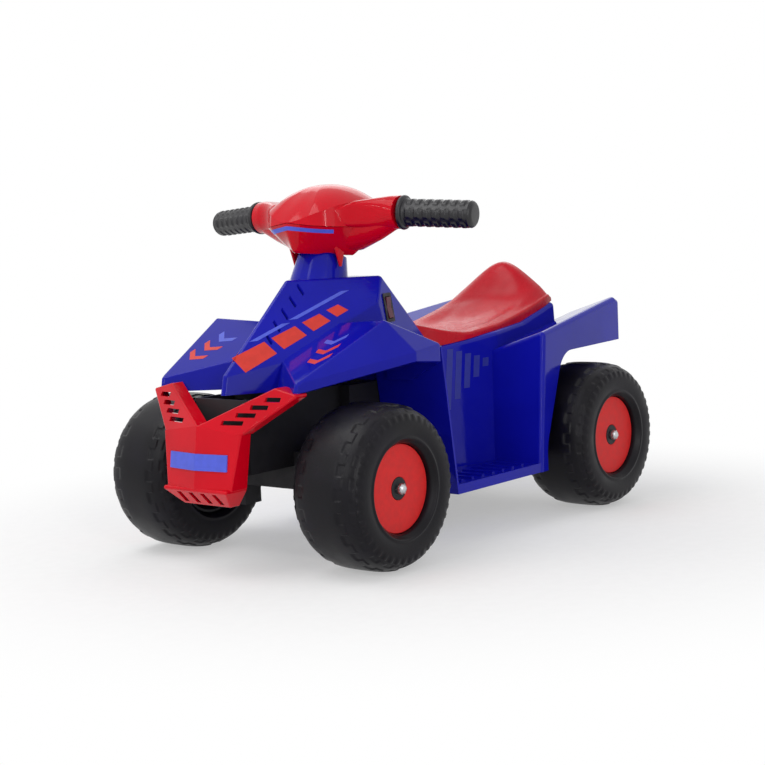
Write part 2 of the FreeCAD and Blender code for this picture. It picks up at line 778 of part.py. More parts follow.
def seat_section(x, half, rim, crown, low):
    """Closed section across the seat: foot, upright sides, round rims, dished or arched top."""
    r = SEAT_RIM_R
    slant = r * (1 - math.sqrt(1 / 2))
    foot_left = FreeCAD.Vector(x, half, low)
    foot_right = FreeCAD.Vector(x, -half, low)
    left = [FreeCAD.Vector(x, half, rim - r), FreeCAD.Vector(x, half - slant, rim - slant),
            FreeCAD.Vector(x, half - r, rim)]
    right = [FreeCAD.Vector(p.x, -p.y, p.z) for p in reversed(left)]
    top = FreeCAD.Vector(x, 0, rim + crown)
    bend = SEAT_PEAK_SHARE * half
    bend_z = rim + crown * 2 * (1 - SEAT_PEAK_SHARE) / (2 - SEAT_PEAK_SHARE)
    peak_left = FreeCAD.Vector(x, bend, bend_z)
    peak_right = FreeCAD.Vector(x, -bend, bend_z)
    edges = [
        Part.LineSegment(foot_right, foot_left), Part.LineSegment(foot_left, left[0]), Part.Arc(*left),
        Part.LineSegment(left[2], peak_left), Part.Arc(peak_left, top, peak_right),
        Part.LineSegment(peak_right, right[0]), Part.Arc(*right), Part.LineSegment(right[2], foot_right),
    ]
    return Part.Wire([e.toShape() for e in edges])


def seat_form(first, inset, ruled):
    """Body through the seat's sections from one of them to the tail, drawn in by an inset."""
    front = REAR_X + SEAT_FRONT_AHEAD
    length = SEAT_FRONT_AHEAD + PED_REAR_BACK
    last = len(SEAT_X_SHARES) - 1
    sections = []
    for i in range(first, last + 1):
        x = front - length * SEAT_X_SHARES[i]
        x += inset * (i == last)
        half = SEAT_HALF_WIDTH * SEAT_WIDTH_SHARES[i] - inset
        rim = SEAT_RIM_Z + SEAT_RIM_RISE * SEAT_RIM_SHARES[i]
        crest = SEAT_CREST * SEAT_CREST_SHARES[i]
        sections.append(seat_section(x, half, rim - inset, crest, rim - SEAT_DEPTH))
    return Part.makeLoft(sections, True, ruled)


def seat(outer):
    """Cushion moulding seated on the bed and the tank's slope, hollow under its raised back."""
    whole = seat_form(0, 0, False).cut(outer)
    shell = whole.cut(seat_form(SEAT_SOLID_COUNT, SEAT_WALL, True))
    bosses = [rod(POST_R, foot - way * POST_R, foot + way * SEAT_DEPTH).common(whole)
              for foot, way, _ in seat_feet()[::2]]
    shell = fused([shell] + bosses)
    holes = [rod(SCREW_R, foot - way * OVERRUN, foot + way * reach) for foot, way, reach in seat_feet()]
    return shell.cut(holes)


def screw(seat_point, way, length):
    """Pan-head screw: head under its seat, shank along the way."""
    point = vec(seat_point)
    line = vec(way).normalize()
    head = rod(SCREW_HEAD_R, point - line * SCREW_HEAD_H, point)
    return fused([head, rod(SCREW_R - RUN_FIT, point - line * (SCREW_HEAD_H / 2), point + line * length)])


# Front bumper

def bumper_points():
    peak = (FRONT_X + BUMPER_PEAK_AHEAD, 0, BUMPER_PEAK_Z)
    top = (FRONT_X + BUMPER_TOP_AHEAD, BUMPER_TOP_Y, BUMPER_TOP_Z)
    low = (FRONT_X + BUMPER_LOW_AHEAD, BUMPER_LOW_Y, BUMPER_LOW_Z)
    low_middle = (FRONT_X + BUMPER_REACH, 0, BUMPER_LOW_Z)
    return peak, top, low, low_middle


def along_x(point):
    x, y, z = point
    return x - OVERRUN, y, z


def bumper_back():
    return flat(BACKWARD, -(FRONT_X + BUMPER_TOP_AHEAD - BUMPER_BACK))


def bumper_face_planes():
    """Bent upright face between the arms and the skid."""
    peak, top, low, low_middle = bumper_points()
    middle = (FRONT_X + BUMPER_TOP_AHEAD, 0, (BUMPER_TOP_Z + BUMPER_LOW_Z) / 2)
    sides = [facing(middle, [peak, low_middle, top]), facing(middle, [top, low, along_x(top)])]
    return mirrored(sides) + [flat(DOWN, -BUMPER_LOW_Z), bumper_back()]


def bumper_fold(above):
    """Seam between the face and the left arm, seen from the arm's side or from the face's."""
    peak, top, _, _ = bumper_points()
    x, y, z = peak
    inside = (x, y, z + OVERRUN) if above else (x, y, z - OVERRUN)
    return facing(inside, [peak, top, along_x(peak)])


def bumper_arm_planes():
    """Left arm, from the middle of the face up to the fender's front."""
    peak, top, _, _ = bumper_points()
    out = (FRONT_X + ARM_OUT_AHEAD, ARM_OUT_Y, ARM_OUT_Z)
    inward = (FRONT_X + ARM_IN_AHEAD, ARM_IN_Y, ARM_IN_Z)
    middle = ((peak[0] + out[0]) / 2 - BUMPER_BACK, BUMPER_TOP_Y, (BUMPER_TOP_Z + ARM_OUT_Z) / 2)
    front = facing(middle, [peak, top, out])
    return [
        front,
        (front[0] * -1, BUMPER_BACK - front[1]),
        facing(middle, [peak, inward, along_x(peak)]),
        facing(middle, [top, out, along_x(top)]),
        facing(middle, [out, inward, along_x(out)]),
    ]


def bumper_skid_planes():
    """Tapering skid under the face, its front sloping back."""
    _, _, low, low_middle = bumper_points()
    foot = (FRONT_X + SKID_AHEAD, SKID_Y, SKID_Z)
    middle = (FRONT_X + SKID_AHEAD - BUMPER_BACK / 2, 0, BUMPER_LOW_Z)
    x, y, z = low_middle
    front = facing(middle, [low_middle, (x, y + 1, z), foot])
    sides = [facing(middle, [low, foot, along_x(low)])]
    return mirrored(sides) + [front, flat(DOWN, -SKID_Z), flat((0, 0, 1), BUMPER_LOW_Z + BUMPER_WALL),
                              bumper_back()]


def arm_slots():
    """Slots across the left arm, evenly spaced between its foot and its end."""
    cutters = []
    for i in range(ARM_SLOT_COUNT):
        share = (i + 1) / (ARM_SLOT_COUNT + 1)
        y = (BUMPER_TOP_Y + (ARM_OUT_Y - BUMPER_TOP_Y) * share + ARM_IN_Y * share) / 2
        z_out = BUMPER_TOP_Z + (ARM_OUT_Z - BUMPER_TOP_Z) * share
        z_in = BUMPER_PEAK_Z + (ARM_IN_Z - BUMPER_PEAK_Z) * share
        z = (z_out + z_in) / 2
        half = (BUMPER_TOP_Y + (ARM_OUT_Y - BUMPER_TOP_Y) * share - ARM_IN_Y * share) / 4
        cutters.append(box((FRONT_X, y - half, z - ARM_SLOT_H / 2),
                           (FRONT_X + BUMPER_REACH, y + half, z + ARM_SLOT_H / 2)))
    return cutters


def front_bumper():
    face_seams = mirrored([bumper_fold(False)])
    blocks = [(bumper_face_planes(), face_seams, False), (bumper_skid_planes(), [], False),
              (bumper_arm_planes(), [bumper_fold(True)], True)]
    outer = []
    inner = []
    for planes, seams, paired in blocks:
        form = open_block(planes, BUMPER_EDGE_R, BACKWARD, seams)
        hollow = cavity(planes + seams, BUMPER_WALL, BACKWARD)
        outer += both_sides(form) if paired else [form]
        inner += both_sides(hollow) if paired else [hollow]
    shell = fused(outer).cut(inner)
    cutters = both_sides(solid_of([(n, d + SIDE_GAP) for n, d in fender_planes()]))
    cutters.append(box((FRONT_X, -SPINE_HALF - SIDE_GAP, SPINE_LOW_Z - SIDE_GAP),
                       (FRONT_X + SPINE_AHEAD + SIDE_GAP, SPINE_HALF + SIDE_GAP, SPINE_TOP_Z + SIDE_GAP)))
    for slot in arm_slots():
        cutters += both_sides(slot)
    pitch = 2 * SKID_Y / SKID_SLOT_COUNT
    for i in range(SKID_SLOT_COUNT):
        y = (i - (SKID_SLOT_COUNT - 1) / 2) * pitch
        cutters.append(box((FRONT_X + SKID_AHEAD - BUMPER_BACK, y - SKID_SLOT_W / 2, SKID_Z + BUMPER_WALL),
                           (FRONT_X + BUMPER_REACH, y + SKID_SLOT_W / 2, BUMPER_LOW_Z - BUMPER_WALL)))
    shell = shell.cut(cutters)
    bosses = []
    holes = []
    for y in (BUMPER_BOSS_Y, -BUMPER_BOSS_Y):
        start = (FRONT_X + SPINE_AHEAD, y, BUMPER_BOSS_Z)
        end = (FRONT_X + BUMPER_PEAK_AHEAD - BUMPER_WALL / 2, y, BUMPER_BOSS_Z)
        bosses.append(rod(BUMPER_BOSS_R, start, end))
        holes.append(rod(SCREW_R, (FRONT_X + SPINE_AHEAD - OVERRUN, y, BUMPER_BOSS_Z),
                         (FRONT_X + SPINE_AHEAD + SCREW_L, y, BUMPER_BOSS_Z)))
    return fused([shell] + bosses).cut(holes)


def bumper_plate():
    """Thin plate laid over the bend of the face."""
    planes = bumper_face_planes()
    fronts = [planes[0], planes[2]]
    limits = [flat((0, 1, 0), PLATE_W / 2), flat((0, -1, 0), PLATE_W / 2),
              flat((0, 0, 1), PLATE_Z + PLATE_H / 2), flat(DOWN, PLATE_H / 2 - PLATE_Z),
              flat(BACKWARD, -(FRONT_X + BUMPER_TOP_AHEAD))]
    whole = solid_of([(n, d + PLATE_T) for n, d in fronts] + limits)
    return whole.cut(solid_of(planes + [flat((0, 0, 1), BUMPER_PEAK_Z)]))


# Chassis

def lug(z_low):
    """Flat lug that holds one end of the left kingpin."""
    z_high = z_low + LUG_T
    bar = box((FRONT_X - LUG_R, SPINE_HALF, z_low), (FRONT_X + LUG_R, KING_Y, z_high))
    return fused([bar, rod(LUG_R, (FRONT_X, KING_Y, z_low), (FRONT_X, KING_Y, z_high))])


def knuckle_low():
    return AXLE_Z - KNUCKLE_H / 2


def knuckle_high():
    return AXLE_Z + KNUCKLE_H / 2


def bush_seat_z():
    """Height on the steering line where the lower bush meets its collar."""
    return SPINE_LOW_Z - 2 * BUSH_FLANGE_T


def chassis_tray():
    plan = pedestal_plan()
    outline = plan + [(x, -y) for x, y in reversed(plan)]
    tray = plan_prism(outline, [0] * len(outline), SILL_Z - TRAY_T, SILL_Z)
    head = FRONT_X - PED_FRONT_BACK
    low = SILL_Z - TRAY_T
    bulkhead = box((head, -SPINE_HALF, low), (head + BULKHEAD_T, SPINE_HALF, SPINE_TOP_Z))
    spine = box((head, -SPINE_HALF, SPINE_LOW_Z), (FRONT_X + SPINE_AHEAD, SPINE_HALF, SPINE_TOP_Z))
    trough = box((head + BULKHEAD_T, SPINE_WALL - SPINE_HALF, SPINE_LOW_Z + SPINE_WALL),
                 (FRONT_X + SPINE_AHEAD - SPINE_WALL, SPINE_HALF - SPINE_WALL, SPINE_TOP_Z + OVERRUN))
    liner = box((head, -LINER_HALF, SPINE_TOP_Z - LINER_H), (head + LINER_L, LINER_HALF, SPINE_TOP_Z))
    rib_x = FRONT_X + POST_AHEAD
    rib = box((rib_x - CROSS_RIB, -SPINE_HALF, SPINE_TOP_Z - CROSS_RIB),
              (rib_x + CROSS_RIB, SPINE_HALF, SPINE_TOP_Z))
    beam_top = SPINE_LOW_Z + SPINE_WALL
    end_y = KING_Y - BEAM_HALF
    beam = box((FRONT_X - BEAM_HALF, -end_y, beam_top - BEAM_H), (FRONT_X + BEAM_HALF, end_y, beam_top))
    block = box((FRONT_X - BEAM_HALF, SPINE_HALF, knuckle_low() - SIDE_GAP - LUG_T),
                (FRONT_X + BEAM_HALF, end_y, knuckle_high() + SIDE_GAP + LUG_T))
    lugs = [lug(knuckle_low() - SIDE_GAP - LUG_T), lug(knuckle_high() + SIDE_GAP)]
    collar = rod(BUSH_R + SPINE_WALL, on_axis(bush_seat_z()), on_axis(SPINE_LOW_Z + BUSH_L))
    walls = [
        box((REAR_X - AXLE_WALL_HALF, y - AXLE_WALL_T, SILL_Z),
            (REAR_X + AXLE_WALL_HALF, y, AXLE_Z + AXLE_WALL_HALF))
        for y in (AXLE_WALL_Y, case_inner_y() + AXLE_WALL_T + SIDE_GAP)]
    solids = [tray, bulkhead, fused([spine, liner]).cut(trough), rib, beam, collar]
    solids += both_sides(block) + walls
    for piece in lugs:
        solids += both_sides(piece)
    whole = fused(solids)
    deep = SILL_Z - OVERRUN
    bush_low, bush_high = on_axis(SPINE_LOW_Z - OVERRUN), on_axis(SPINE_LOW_Z + BUSH_L + OVERRUN)
    cutters = [rod(BUSH_R + RUN_FIT, bush_low, bush_high),
               rod(AXLE_R + RUN_FIT, (REAR_X, -HALF_WIDTH, AXLE_Z), (REAR_X, HALF_WIDTH, AXLE_Z))]
    for y in (KING_Y, -KING_Y):
        cutters.append(rod(KING_R + RUN_FIT, (FRONT_X, y, deep), (FRONT_X, y, SPINE_TOP_Z)))
    for x, y in tray_screw_places():
        cutters.append(rod(SCREW_R + SLIP_FIT, (x, y, deep), (x, y, SILL_Z)))
        cutters.append(rod(SCREW_HEAD_R + SIDE_GAP, (x, y, deep), (x, y, tray_screw_seat())))
    for y in (BUMPER_BOSS_Y, -BUMPER_BOSS_Y):
        cutters.append(rod(SCREW_R + SLIP_FIT, (FRONT_X + SPINE_AHEAD - OVERRUN, y, BUMPER_BOSS_Z),
                           (FRONT_X + SPINE_AHEAD, y, BUMPER_BOSS_Z)))
        cutters.append(rod(SCREW_R + SLIP_FIT, (rib_x, math.copysign(POST_Y, y), SPINE_TOP_Z - OVERRUN),
                           (rib_x, math.copysign(POST_Y, y), SPINE_TOP_Z)))
    return whole.cut(cutters)


def kingpin():
    low = knuckle_low() - SIDE_GAP - LUG_T - KING_HEAD_H
    high = knuckle_high() + SIDE_GAP + LUG_T
    pin = rod(KING_R, (FRONT_X, KING_Y, low), (FRONT_X, KING_Y, high))
    head = rod(KING_HEAD_R, (FRONT_X, KING_Y, high), (FRONT_X, KING_Y, high + KING_HEAD_H))
    clip = rod(KING_HEAD_R, (FRONT_X, KING_Y, low), (FRONT_X, KING_Y, low + KING_HEAD_H))
    return fused([pin, head, clip])


# Steering

def bush(z_seat, flange_up):
    """Flanged nylon bush round the steering shaft, seated at a height."""
    seat_at = on_axis(z_seat)
    side = AXIS_UP if flange_up else AXIS_UP * -1
    whole = fused([rod(BUSH_R, seat_at - side * BUSH_L, seat_at),
                   rod(BUSH_FLANGE_R, seat_at, seat_at + side * BUSH_FLANGE_T)])
    return whole.cut(rod(SHAFT_R + RUN_FIT, seat_at - side * OVERRUN, seat_at + side * OVERRUN))


def crank_end():
    return on_axis(CRANK_Z) + AXIS_BACK * STEER_R


def steering_shaft():
    """Steel rod bent to a crank at its foot."""
    foot = on_axis(CRANK_Z)
    head = on_axis(BAR_Z) - AXIS_UP * BAR_R
    end = crank_end()
    runs = ((foot, head), (foot, end), (end, end - AXIS_UP * CRANK_PIN_L))
    solids = [rod(SHAFT_R, first, last) for first, last in runs]
    for centre in (foot, end):
        solids.append(Part.makeSphere(SHAFT_R, centre))
    return fused(solids)


def arm_top():
    return knuckle_low() + ARM_T


def knuckle():
    """Left knuckle: kingpin barrel, seat of the stub axle, arm to the tie rod with its pin."""
    low = knuckle_low()
    barrel = rod(KNUCKLE_R, (FRONT_X, KING_Y, low), (FRONT_X, KING_Y, knuckle_high()))
    stub = rod(STUB_SEAT_R, (FRONT_X, KING_Y, AXLE_Z), (FRONT_X, STUB_SEAT_END, AXLE_Z))
    tail = FRONT_X - STEER_R
    arm = box((tail, KING_Y - ARM_W / 2, low), (FRONT_X, KING_Y + ARM_W / 2, arm_top()))
    tip = rod(ARM_W / 2, (tail, KING_Y, low), (tail, KING_Y, arm_top()))
    pin = rod(TIE_PIN_R, (tail, KING_Y, low), (tail, KING_Y, arm_top() + SIDE_GAP + TIE_H + TIE_PIN_R))
    whole = fused([barrel, stub, arm, tip, pin])
    return whole.cut([
        rod(KING_R + RUN_FIT, (FRONT_X, KING_Y, low - OVERRUN),
            (FRONT_X, KING_Y, knuckle_high() + OVERRUN)),
        rod(AXLE_R, (FRONT_X, stub_start(), AXLE_Z), (FRONT_X, HALF_WIDTH, AXLE_Z))])


def stub_start():
    return KING_Y + KING_R + (KNUCKLE_R - KING_R) / 2


def stub_axle():
    return rod(AXLE_R, (FRONT_X, stub_start(), AXLE_Z), (FRONT_X, AXLE_END, AXLE_Z))


def axle_nut(x):
    """Domed nut on the left end of an axle."""
    start = WHEEL_Y + HUB_FRONT + DISC_GAP
    corners = []
    for i in range(6):
        turn = math.radians(60) * i
        corners.append((x + NUT_R * math.cos(turn), start, AXLE_Z + NUT_R * math.sin(turn)))
    prism = Part.Face(Part.makePolygon([vec(p) for p in corners + corners[:1]])).extrude(
        FreeCAD.Vector(0, NUT_H, 0))
    dome = Part.makeSphere(NUT_R, FreeCAD.Vector(x, start + NUT_H - NUT_R / 2, AXLE_Z))
    dome = dome.common(box((x - NUT_R, start, AXLE_Z - NUT_R),
                           (x + NUT_R, start + OVERRUN, AXLE_Z + NUT_R)))
    return fused([prism, dome]).cut(rod(AXLE_R, (x, 0, AXLE_Z), (x, AXLE_END, AXLE_Z)))


def tie_rod():
    """Flat bar between the arms, with a lug round the crank's pin."""
    x = FRONT_X - STEER_R
    low = arm_top() + SIDE_GAP
    high = low + TIE_H
    bar = box((x - TIE_W / 2, -KING_Y, low), (x + TIE_W / 2, KING_Y, high))
    pin_foot = crank_end() - AXIS_UP * CRANK_PIN_L
    share = (low + TIE_H / 2 - crank_end().z) / (pin_foot.z - crank_end().z)
    lug_x = crank_end().x + (pin_foot.x - crank_end().x) * share
    plate = box((lug_x, -CRANK_LUG_R, low), (x, CRANK_LUG_R, high))
    solids = [bar, plate, rod(CRANK_LUG_R, (lug_x, 0, low), (lug_x, 0, high))]
    cutters = [rod(SHAFT_R + CRANK_HOLE_GAP, crank_end() + AXIS_UP * OVERRUN, pin_foot - AXIS_UP * OVERRUN)]
    for y in (KING_Y, -KING_Y):
        solids.append(rod(TIE_W - TIE_PIN_R / 2, (x, y, low), (x, y, high)))
        cutters.append(rod(TIE_PIN_R + TIE_HOLE_GAP, (x, y, low - OVERRUN), (x, y, high + OVERRUN)))
    return fused(solids).cut(cutters)


# Wheels

def spun(wire, x):
    """Section drawn ahead of the axle, turned once round it."""
    return Part.Face(wire).revolve(FreeCAD.Vector(x, 0, AXLE_Z), FreeCAD.Vector(0, 1, 0), 360)


def wheel_point(x, w, r):
    return FreeCAD.Vector(x + r, WHEEL_Y + w, AXLE_Z)


def tyre_line(x, inset):
    """Half of the tyre's section from bead to crown: side bulge, then shoulder, both as arcs."""
    bead = wheel_point(x, BEAD_W - inset, BEAD_R)
    side = wheel_point(x, TYRE_W / 2 - inset, SIDE_R)
    shoulder = wheel_point(x, SHOULDER_W - inset, SHOULDER_R - inset / 2)
    edge = wheel_point(x, TREAD_HALF - inset / 2, TYRE_R - CROWN_DROP - inset)
    turn = (shoulder + edge) * (1 / 2) + FreeCAD.Vector(SHOULDER_BULGE, SHOULDER_BULGE, 0)
    return bead, side, shoulder, turn, edge


def across(point):
    return FreeCAD.Vector(point.x, 2 * WHEEL_Y - point.y, point.z)


def tyre(x):
    """Hollow balloon tyre, open between its beads."""
    edges = []
    ends = []
    for inset in (0, TYRE_WALL):
        bead, side, shoulder, turn, edge = tyre_line(x, inset)
        crown = wheel_point(x, 0, TYRE_R - inset)
        edges += [Part.Arc(bead, side, shoulder), Part.Arc(shoulder, turn, edge),
                  Part.Arc(edge, crown, across(edge)),
                  Part.Arc(across(edge), across(turn), across(shoulder)),
                  Part.Arc(across(shoulder), across(side), across(bead))]
        ends.append(bead)
    edges += [Part.LineSegment(ends[0], ends[1]), Part.LineSegment(across(ends[0]), across(ends[1]))]
    return spun(Part.Wire(Part.__sortEdges__([e.toShape() for e in edges])), x)


def wheel_core(x):
    """Hub tube, web and drum that carry the tyre."""
    bore = AXLE_R + RUN_FIT
    drum = BEAD_R - RUN_FIT
    lip = BEAD_R - DRUM_WALL
    outline = [
        (HUB_FRONT, bore), (HUB_FRONT, HUB_R), (WEB_W + WEB_T, HUB_R), (WEB_W + WEB_T, lip),
        (DRUM_FRONT, lip), (DRUM_FRONT, drum), (-BEAD_W, drum), (-BEAD_W, lip), (WEB_W, lip), (WEB_W, HUB_R),
        (-TYRE_W / 2, HUB_R), (-TYRE_W / 2, bore),
    ]
    points = [wheel_point(x, w, r) for w, r in outline]
    return spun(Part.makePolygon(points + points[:1]), x)


def wheel_disc(x):
    """Round trim disc over the drum's mouth."""
    inner = HUB_R + DISC_GAP
    rim = BEAD_R - DISC_GAP
    face = DRUM_FRONT + DISC_T
    outline = [(DRUM_FRONT, inner), (face, inner), (face, rim), (DRUM_FRONT, rim)]
    points = [wheel_point(x, w, r) for w, r in outline]
    disc = spun(Part.makePolygon(points + points[:1]), x)
    front = WHEEL_Y + face
    boxes = [(e, e.BoundBox) for e in disc.Edges]
    edges = [e for e, b in boxes if abs(b.YMin - front) < FLAT_TOL and b.YLength < FLAT_TOL]
    return disc.makeFillet(DISC_T / 3, edges)


# Handlebar

def bar_at(y):
    """Point of the bar's centre line beyond its bend, on the left."""
    share = (y - BAR_BEND_Y) / (GRIP_END_Y - GRIP_FLANGE_Y)
    return FreeCAD.Vector(BAR_X - GRIP_SWEEP * share, y, BAR_Z - GRIP_DROP * share)


def grip_way():
    return (bar_at(GRIP_END_Y) - bar_at(GRIP_FLANGE_Y)).normalize()


def handlebar_tube():
    end = bar_at(GRIP_END_Y) - grip_way() * GRIP_END_T
    bend = FreeCAD.Vector(BAR_X, BAR_BEND_Y, BAR_Z)
    points = [end, bend, FreeCAD.Vector(bend.x, -bend.y, bend.z), FreeCAD.Vector(end.x, -end.y, end.z)]
    path = rounded_wire(points, [0, BAR_BEND_R, BAR_BEND_R, 0], False)
    circle = Part.Wire(Part.makeCircle(BAR_R, end, grip_way()))
    return path.makePipe(Part.Face(circle))


def grip():
    """Left rubber grip: flange, ribbed barrel, closed end."""
    start = bar_at(GRIP_FLANGE_Y)
    way = grip_way()
    end = bar_at(GRIP_END_Y)
    barrel = rod(GRIP_R, start, end)
    flange = rod(GRIP_FLANGE_R, start, start + way * GRIP_FLANGE_T)
    rims = [e for e in flange.Edges if e.Curve.TypeId == "Part::GeomCircle"]
    flange = flange.makeFillet(GRIP_FLANGE_T / 3, rims)
    whole = fused([barrel, flange])
    far = max((e for e in whole.Edges if e.Closed), key=lambda e: e.CenterOfMass.dot(way))
    whole = whole.makeFillet(GRIP_END_T / 2, [far])
    length = (end - start).Length - GRIP_FLANGE_T - GRIP_END_T
    pitch = length / (GRIP_RIB_COUNT + 1)
    grooves = []
    for i in range(GRIP_RIB_COUNT):
        middle = start + way * (GRIP_FLANGE_T + pitch * (i + 1))
        ring = rod(GRIP_R + GRIP_RIB_DEPTH, middle - way * (pitch / 4), middle + way * (pitch / 4))
        core = rod(GRIP_R - GRIP_RIB_DEPTH, middle - way * pitch, middle + way * pitch)
        grooves.append(ring.cut(core))
    bore = rod(BAR_R + RUN_FIT, start - way * OVERRUN, end - way * GRIP_END_T)
    return whole.cut(grooves + [bore])


def cover_dome(inset):
    """Flattened ball over the middle of the bar."""
    ball = Part.makeSphere(1)
    stretch = FreeCAD.Matrix()
    stretch.scale(DOME_X - inset, DOME_Y - inset, DOME_Z - inset)
    shape = ball.transformGeometry(stretch)
    shape.translate(FreeCAD.Vector(BAR_X, 0, BAR_Z))
    return shape


def cover_arm(inset):
    """Left sleeve of the cover, tapering to the grip's flange."""
    end = bar_at(GRIP_FLANGE_Y) + grip_way() * (COVER_WALL - 2 * inset)
    root = FreeCAD.Vector(BAR_X, COVER_ARM_ROOT_Y, BAR_Z)
    return cone(COVER_ARM_ROOT_R - inset, COVER_ARM_R - inset, root, end)


def cover_planes():
    """Prow-shaped lower half: faces lean in from the bar's level to the foot."""
    def at_bar(shares):
        return (BAR_X + DOME_X * shares[0], DOME_Y * shares[1], BAR_Z)

    def at_foot(shares):
        x = BAR_X + DOME_X * shares[0]
        drop = (1 - shares[0]) * DOME_X * math.tan(COVER_LOW_SLOPE)
        return (x, DOME_Y * shares[1], BAR_Z - COVER_FRONT_DEPTH - drop)

    prow = at_bar((1, 0))
    beak = at_bar(COVER_BEAK_SHARES)
    flank = at_bar((0, 1))
    rear = at_bar(COVER_REAR_SHARES)
    foot_prow = at_foot((COVER_FOOT_PROW_SHARE, 0))
    foot_side = at_foot(COVER_FOOT_SIDE_SHARES)
    rear_x, rear_y, _ = at_foot(COVER_FOOT_REAR_SHARES)
    foot_rear = (rear_x, rear_y, BAR_Z - COVER_REAR_DEPTH)
    middle = (BAR_X, 0, BAR_Z - COVER_ARM_R)
    sides = [
        facing(middle, [prow, beak, foot_prow]),
        facing(middle, [beak, foot_prow, foot_side]),
        facing(middle, [beak, flank, foot_side]),
        facing(middle, [flank, rear, foot_rear]),
    ]
    level = (foot_side[0], -foot_side[1], foot_side[2])
    foot = facing(middle, [foot_prow, foot_side, level])
    rise = facing(middle, [foot_side, level, foot_rear])
    back = flat(BACKWARD, DOME_X * COVER_BACK_SHARE - BAR_X)
    return mirrored(sides) + [foot, rise, back, flat((0, 0, 1), BAR_Z)]


def cover_halves():
    """Upper and lower halves of the handlebar cover, split at the bar's level."""
    low_block = open_block(cover_planes(), COVER_EDGE_R, (0, 0, 1))
    low_cavity = cavity(cover_planes(), COVER_WALL, (0, 0, 1))
    arms = both_sides(cover_arm(0))
    arm_hollows = both_sides(cover_arm(COVER_WALL))
    sky = box((BAR_X - HALF_WIDTH, -HALF_WIDTH, BAR_Z),
              (BAR_X + HALF_WIDTH, HALF_WIDTH, BAR_Z + HALF_WIDTH))
    upper = fused([cover_dome(0)] + arms).cut([cover_dome(COVER_WALL)] + arm_hollows).common(sky)
    lower = fused([low_block] + [arm.cut(sky) for arm in arms]).cut([low_cavity] + arm_hollows)
    end = bar_at(GRIP_END_Y)
    start = bar_at(GRIP_FLANGE_Y)
    bores = both_sides(rod(BAR_R + SLIP_FIT, bar_at(BAR_BEND_Y), end))
    bores += both_sides(rod(COVER_ARM_ROOT_R, start - grip_way() * SIDE_GAP, end))
    mouth = rod(CONE_TOP_R + COVER_MOUTH_GAP, on_axis(CONE_TOP_Z - OVERRUN),
                on_axis(CONE_TOP_Z + CONE_SINK / 2))
    button = rod(BUTTON_R + SLIP_FIT * 2, (BAR_X - HALF_WIDTH, -BUTTON_Y, BAR_Z), (BAR_X, -BUTTON_Y, BAR_Z))
    hub = rod(COVER_BOSS_R, on_axis(CONE_TOP_Z + BUSH_FLANGE_T + COVER_GAP),
              on_axis(BAR_Z - BAR_R - COVER_WALL))
    web = box((BAR_X - DOME_X, -COVER_WALL / 2, CONE_TOP_Z + CONE_SINK / 2 + COVER_GAP),
              (BAR_X + DOME_X, COVER_WALL / 2, BAR_Z - BAR_R - COVER_WALL)).common(low_block)
    shaft = rod(SHAFT_R + RUN_FIT, on_axis(CRANK_Z), on_axis(BAR_Z))
    lower = fused([lower.cut(mouth), hub, web]).cut(bores + [button, shaft])
    upper = upper.cut(bores + [button])
    return upper, lower


def throttle_button():
    arm_share = (BUTTON_Y - COVER_ARM_ROOT_Y) / (GRIP_FLANGE_Y - COVER_ARM_ROOT_Y)
    skin = COVER_ARM_ROOT_R + (COVER_ARM_R - COVER_ARM_ROOT_R) * arm_share
    front = BAR_X - skin + BUTTON_STEM - BUTTON_TRAVEL / 2
    button = rod(BUTTON_R, (BAR_X - skin - BUTTON_PROUD, -BUTTON_Y, BAR_Z), (front, -BUTTON_Y, BAR_Z))
    face = [e for e in button.Edges if e.Closed and e.CenterOfMass.x < BAR_X - skin]
    return button.makeFillet(BUTTON_PROUD / 3, face)


# Direction switch on the cowl's left side

def placed_on_cowl(shape):
    """Moves a shape drawn about the origin (X back, Y up, Z out) onto the cowl's left side."""
    normal, distance = hood_planes()[3]
    x = FRONT_X - SHOULDER_BACK - ROCKER_BACK
    y = (distance - normal.x * x - normal.z * ROCKER_Z) / normal.y
    up = (FreeCAD.Vector(0, 0, 1) - normal * normal.z).normalize()
    back = up.cross(normal)
    frame = FreeCAD.Matrix(back.x, up.x, normal.x, x, back.y, up.y, normal.y, y,
                           back.z, up.z, normal.z, ROCKER_Z, 0, 0, 0, 1)
    return shape.transformed(frame, True)


def rocker_opening(depth):
    half_wide = ROCKER_WIDE / 2 + SIDE_GAP
    half_long = ROCKER_LONG / 2 + MOVE_GAP / 2
    return box((-half_wide, -half_long, -depth), (half_wide, half_long, OVERRUN))


def rocker_housing():
    half_wide = ROCKER_WIDE / 2 + BEZEL_RIM
    half_long = ROCKER_LONG / 2 + BEZEL_RIM
    depth = ROCKER_DEEP + BEZEL_RIM
    return box((-half_wide, -half_long, -depth), (half_wide, half_long, BEZEL_T / 2))


def switch_bezel():
    half_wide = ROCKER_WIDE / 2 + 2 * BEZEL_RIM
    half_long = ROCKER_LONG / 2 + 2 * BEZEL_RIM
    frame = box((-half_wide, -half_long, 0), (half_wide, half_long, BEZEL_T))
    upright_edges = [e for e in frame.Edges if e.BoundBox.ZLength > BEZEL_T / 2]
    frame = frame.makeFillet(BEZEL_RIM, upright_edges)
    whole = fused([frame, rocker_housing()]).cut(rocker_opening(ROCKER_DEEP))
    pivot = rod(ROCKER_PROUD / 2 + RUN_FIT, (-half_wide, 0, -ROCKER_PROUD), (half_wide, 0, -ROCKER_PROUD))
    return placed_on_cowl(whole.cut(pivot.common(rocker_housing())))


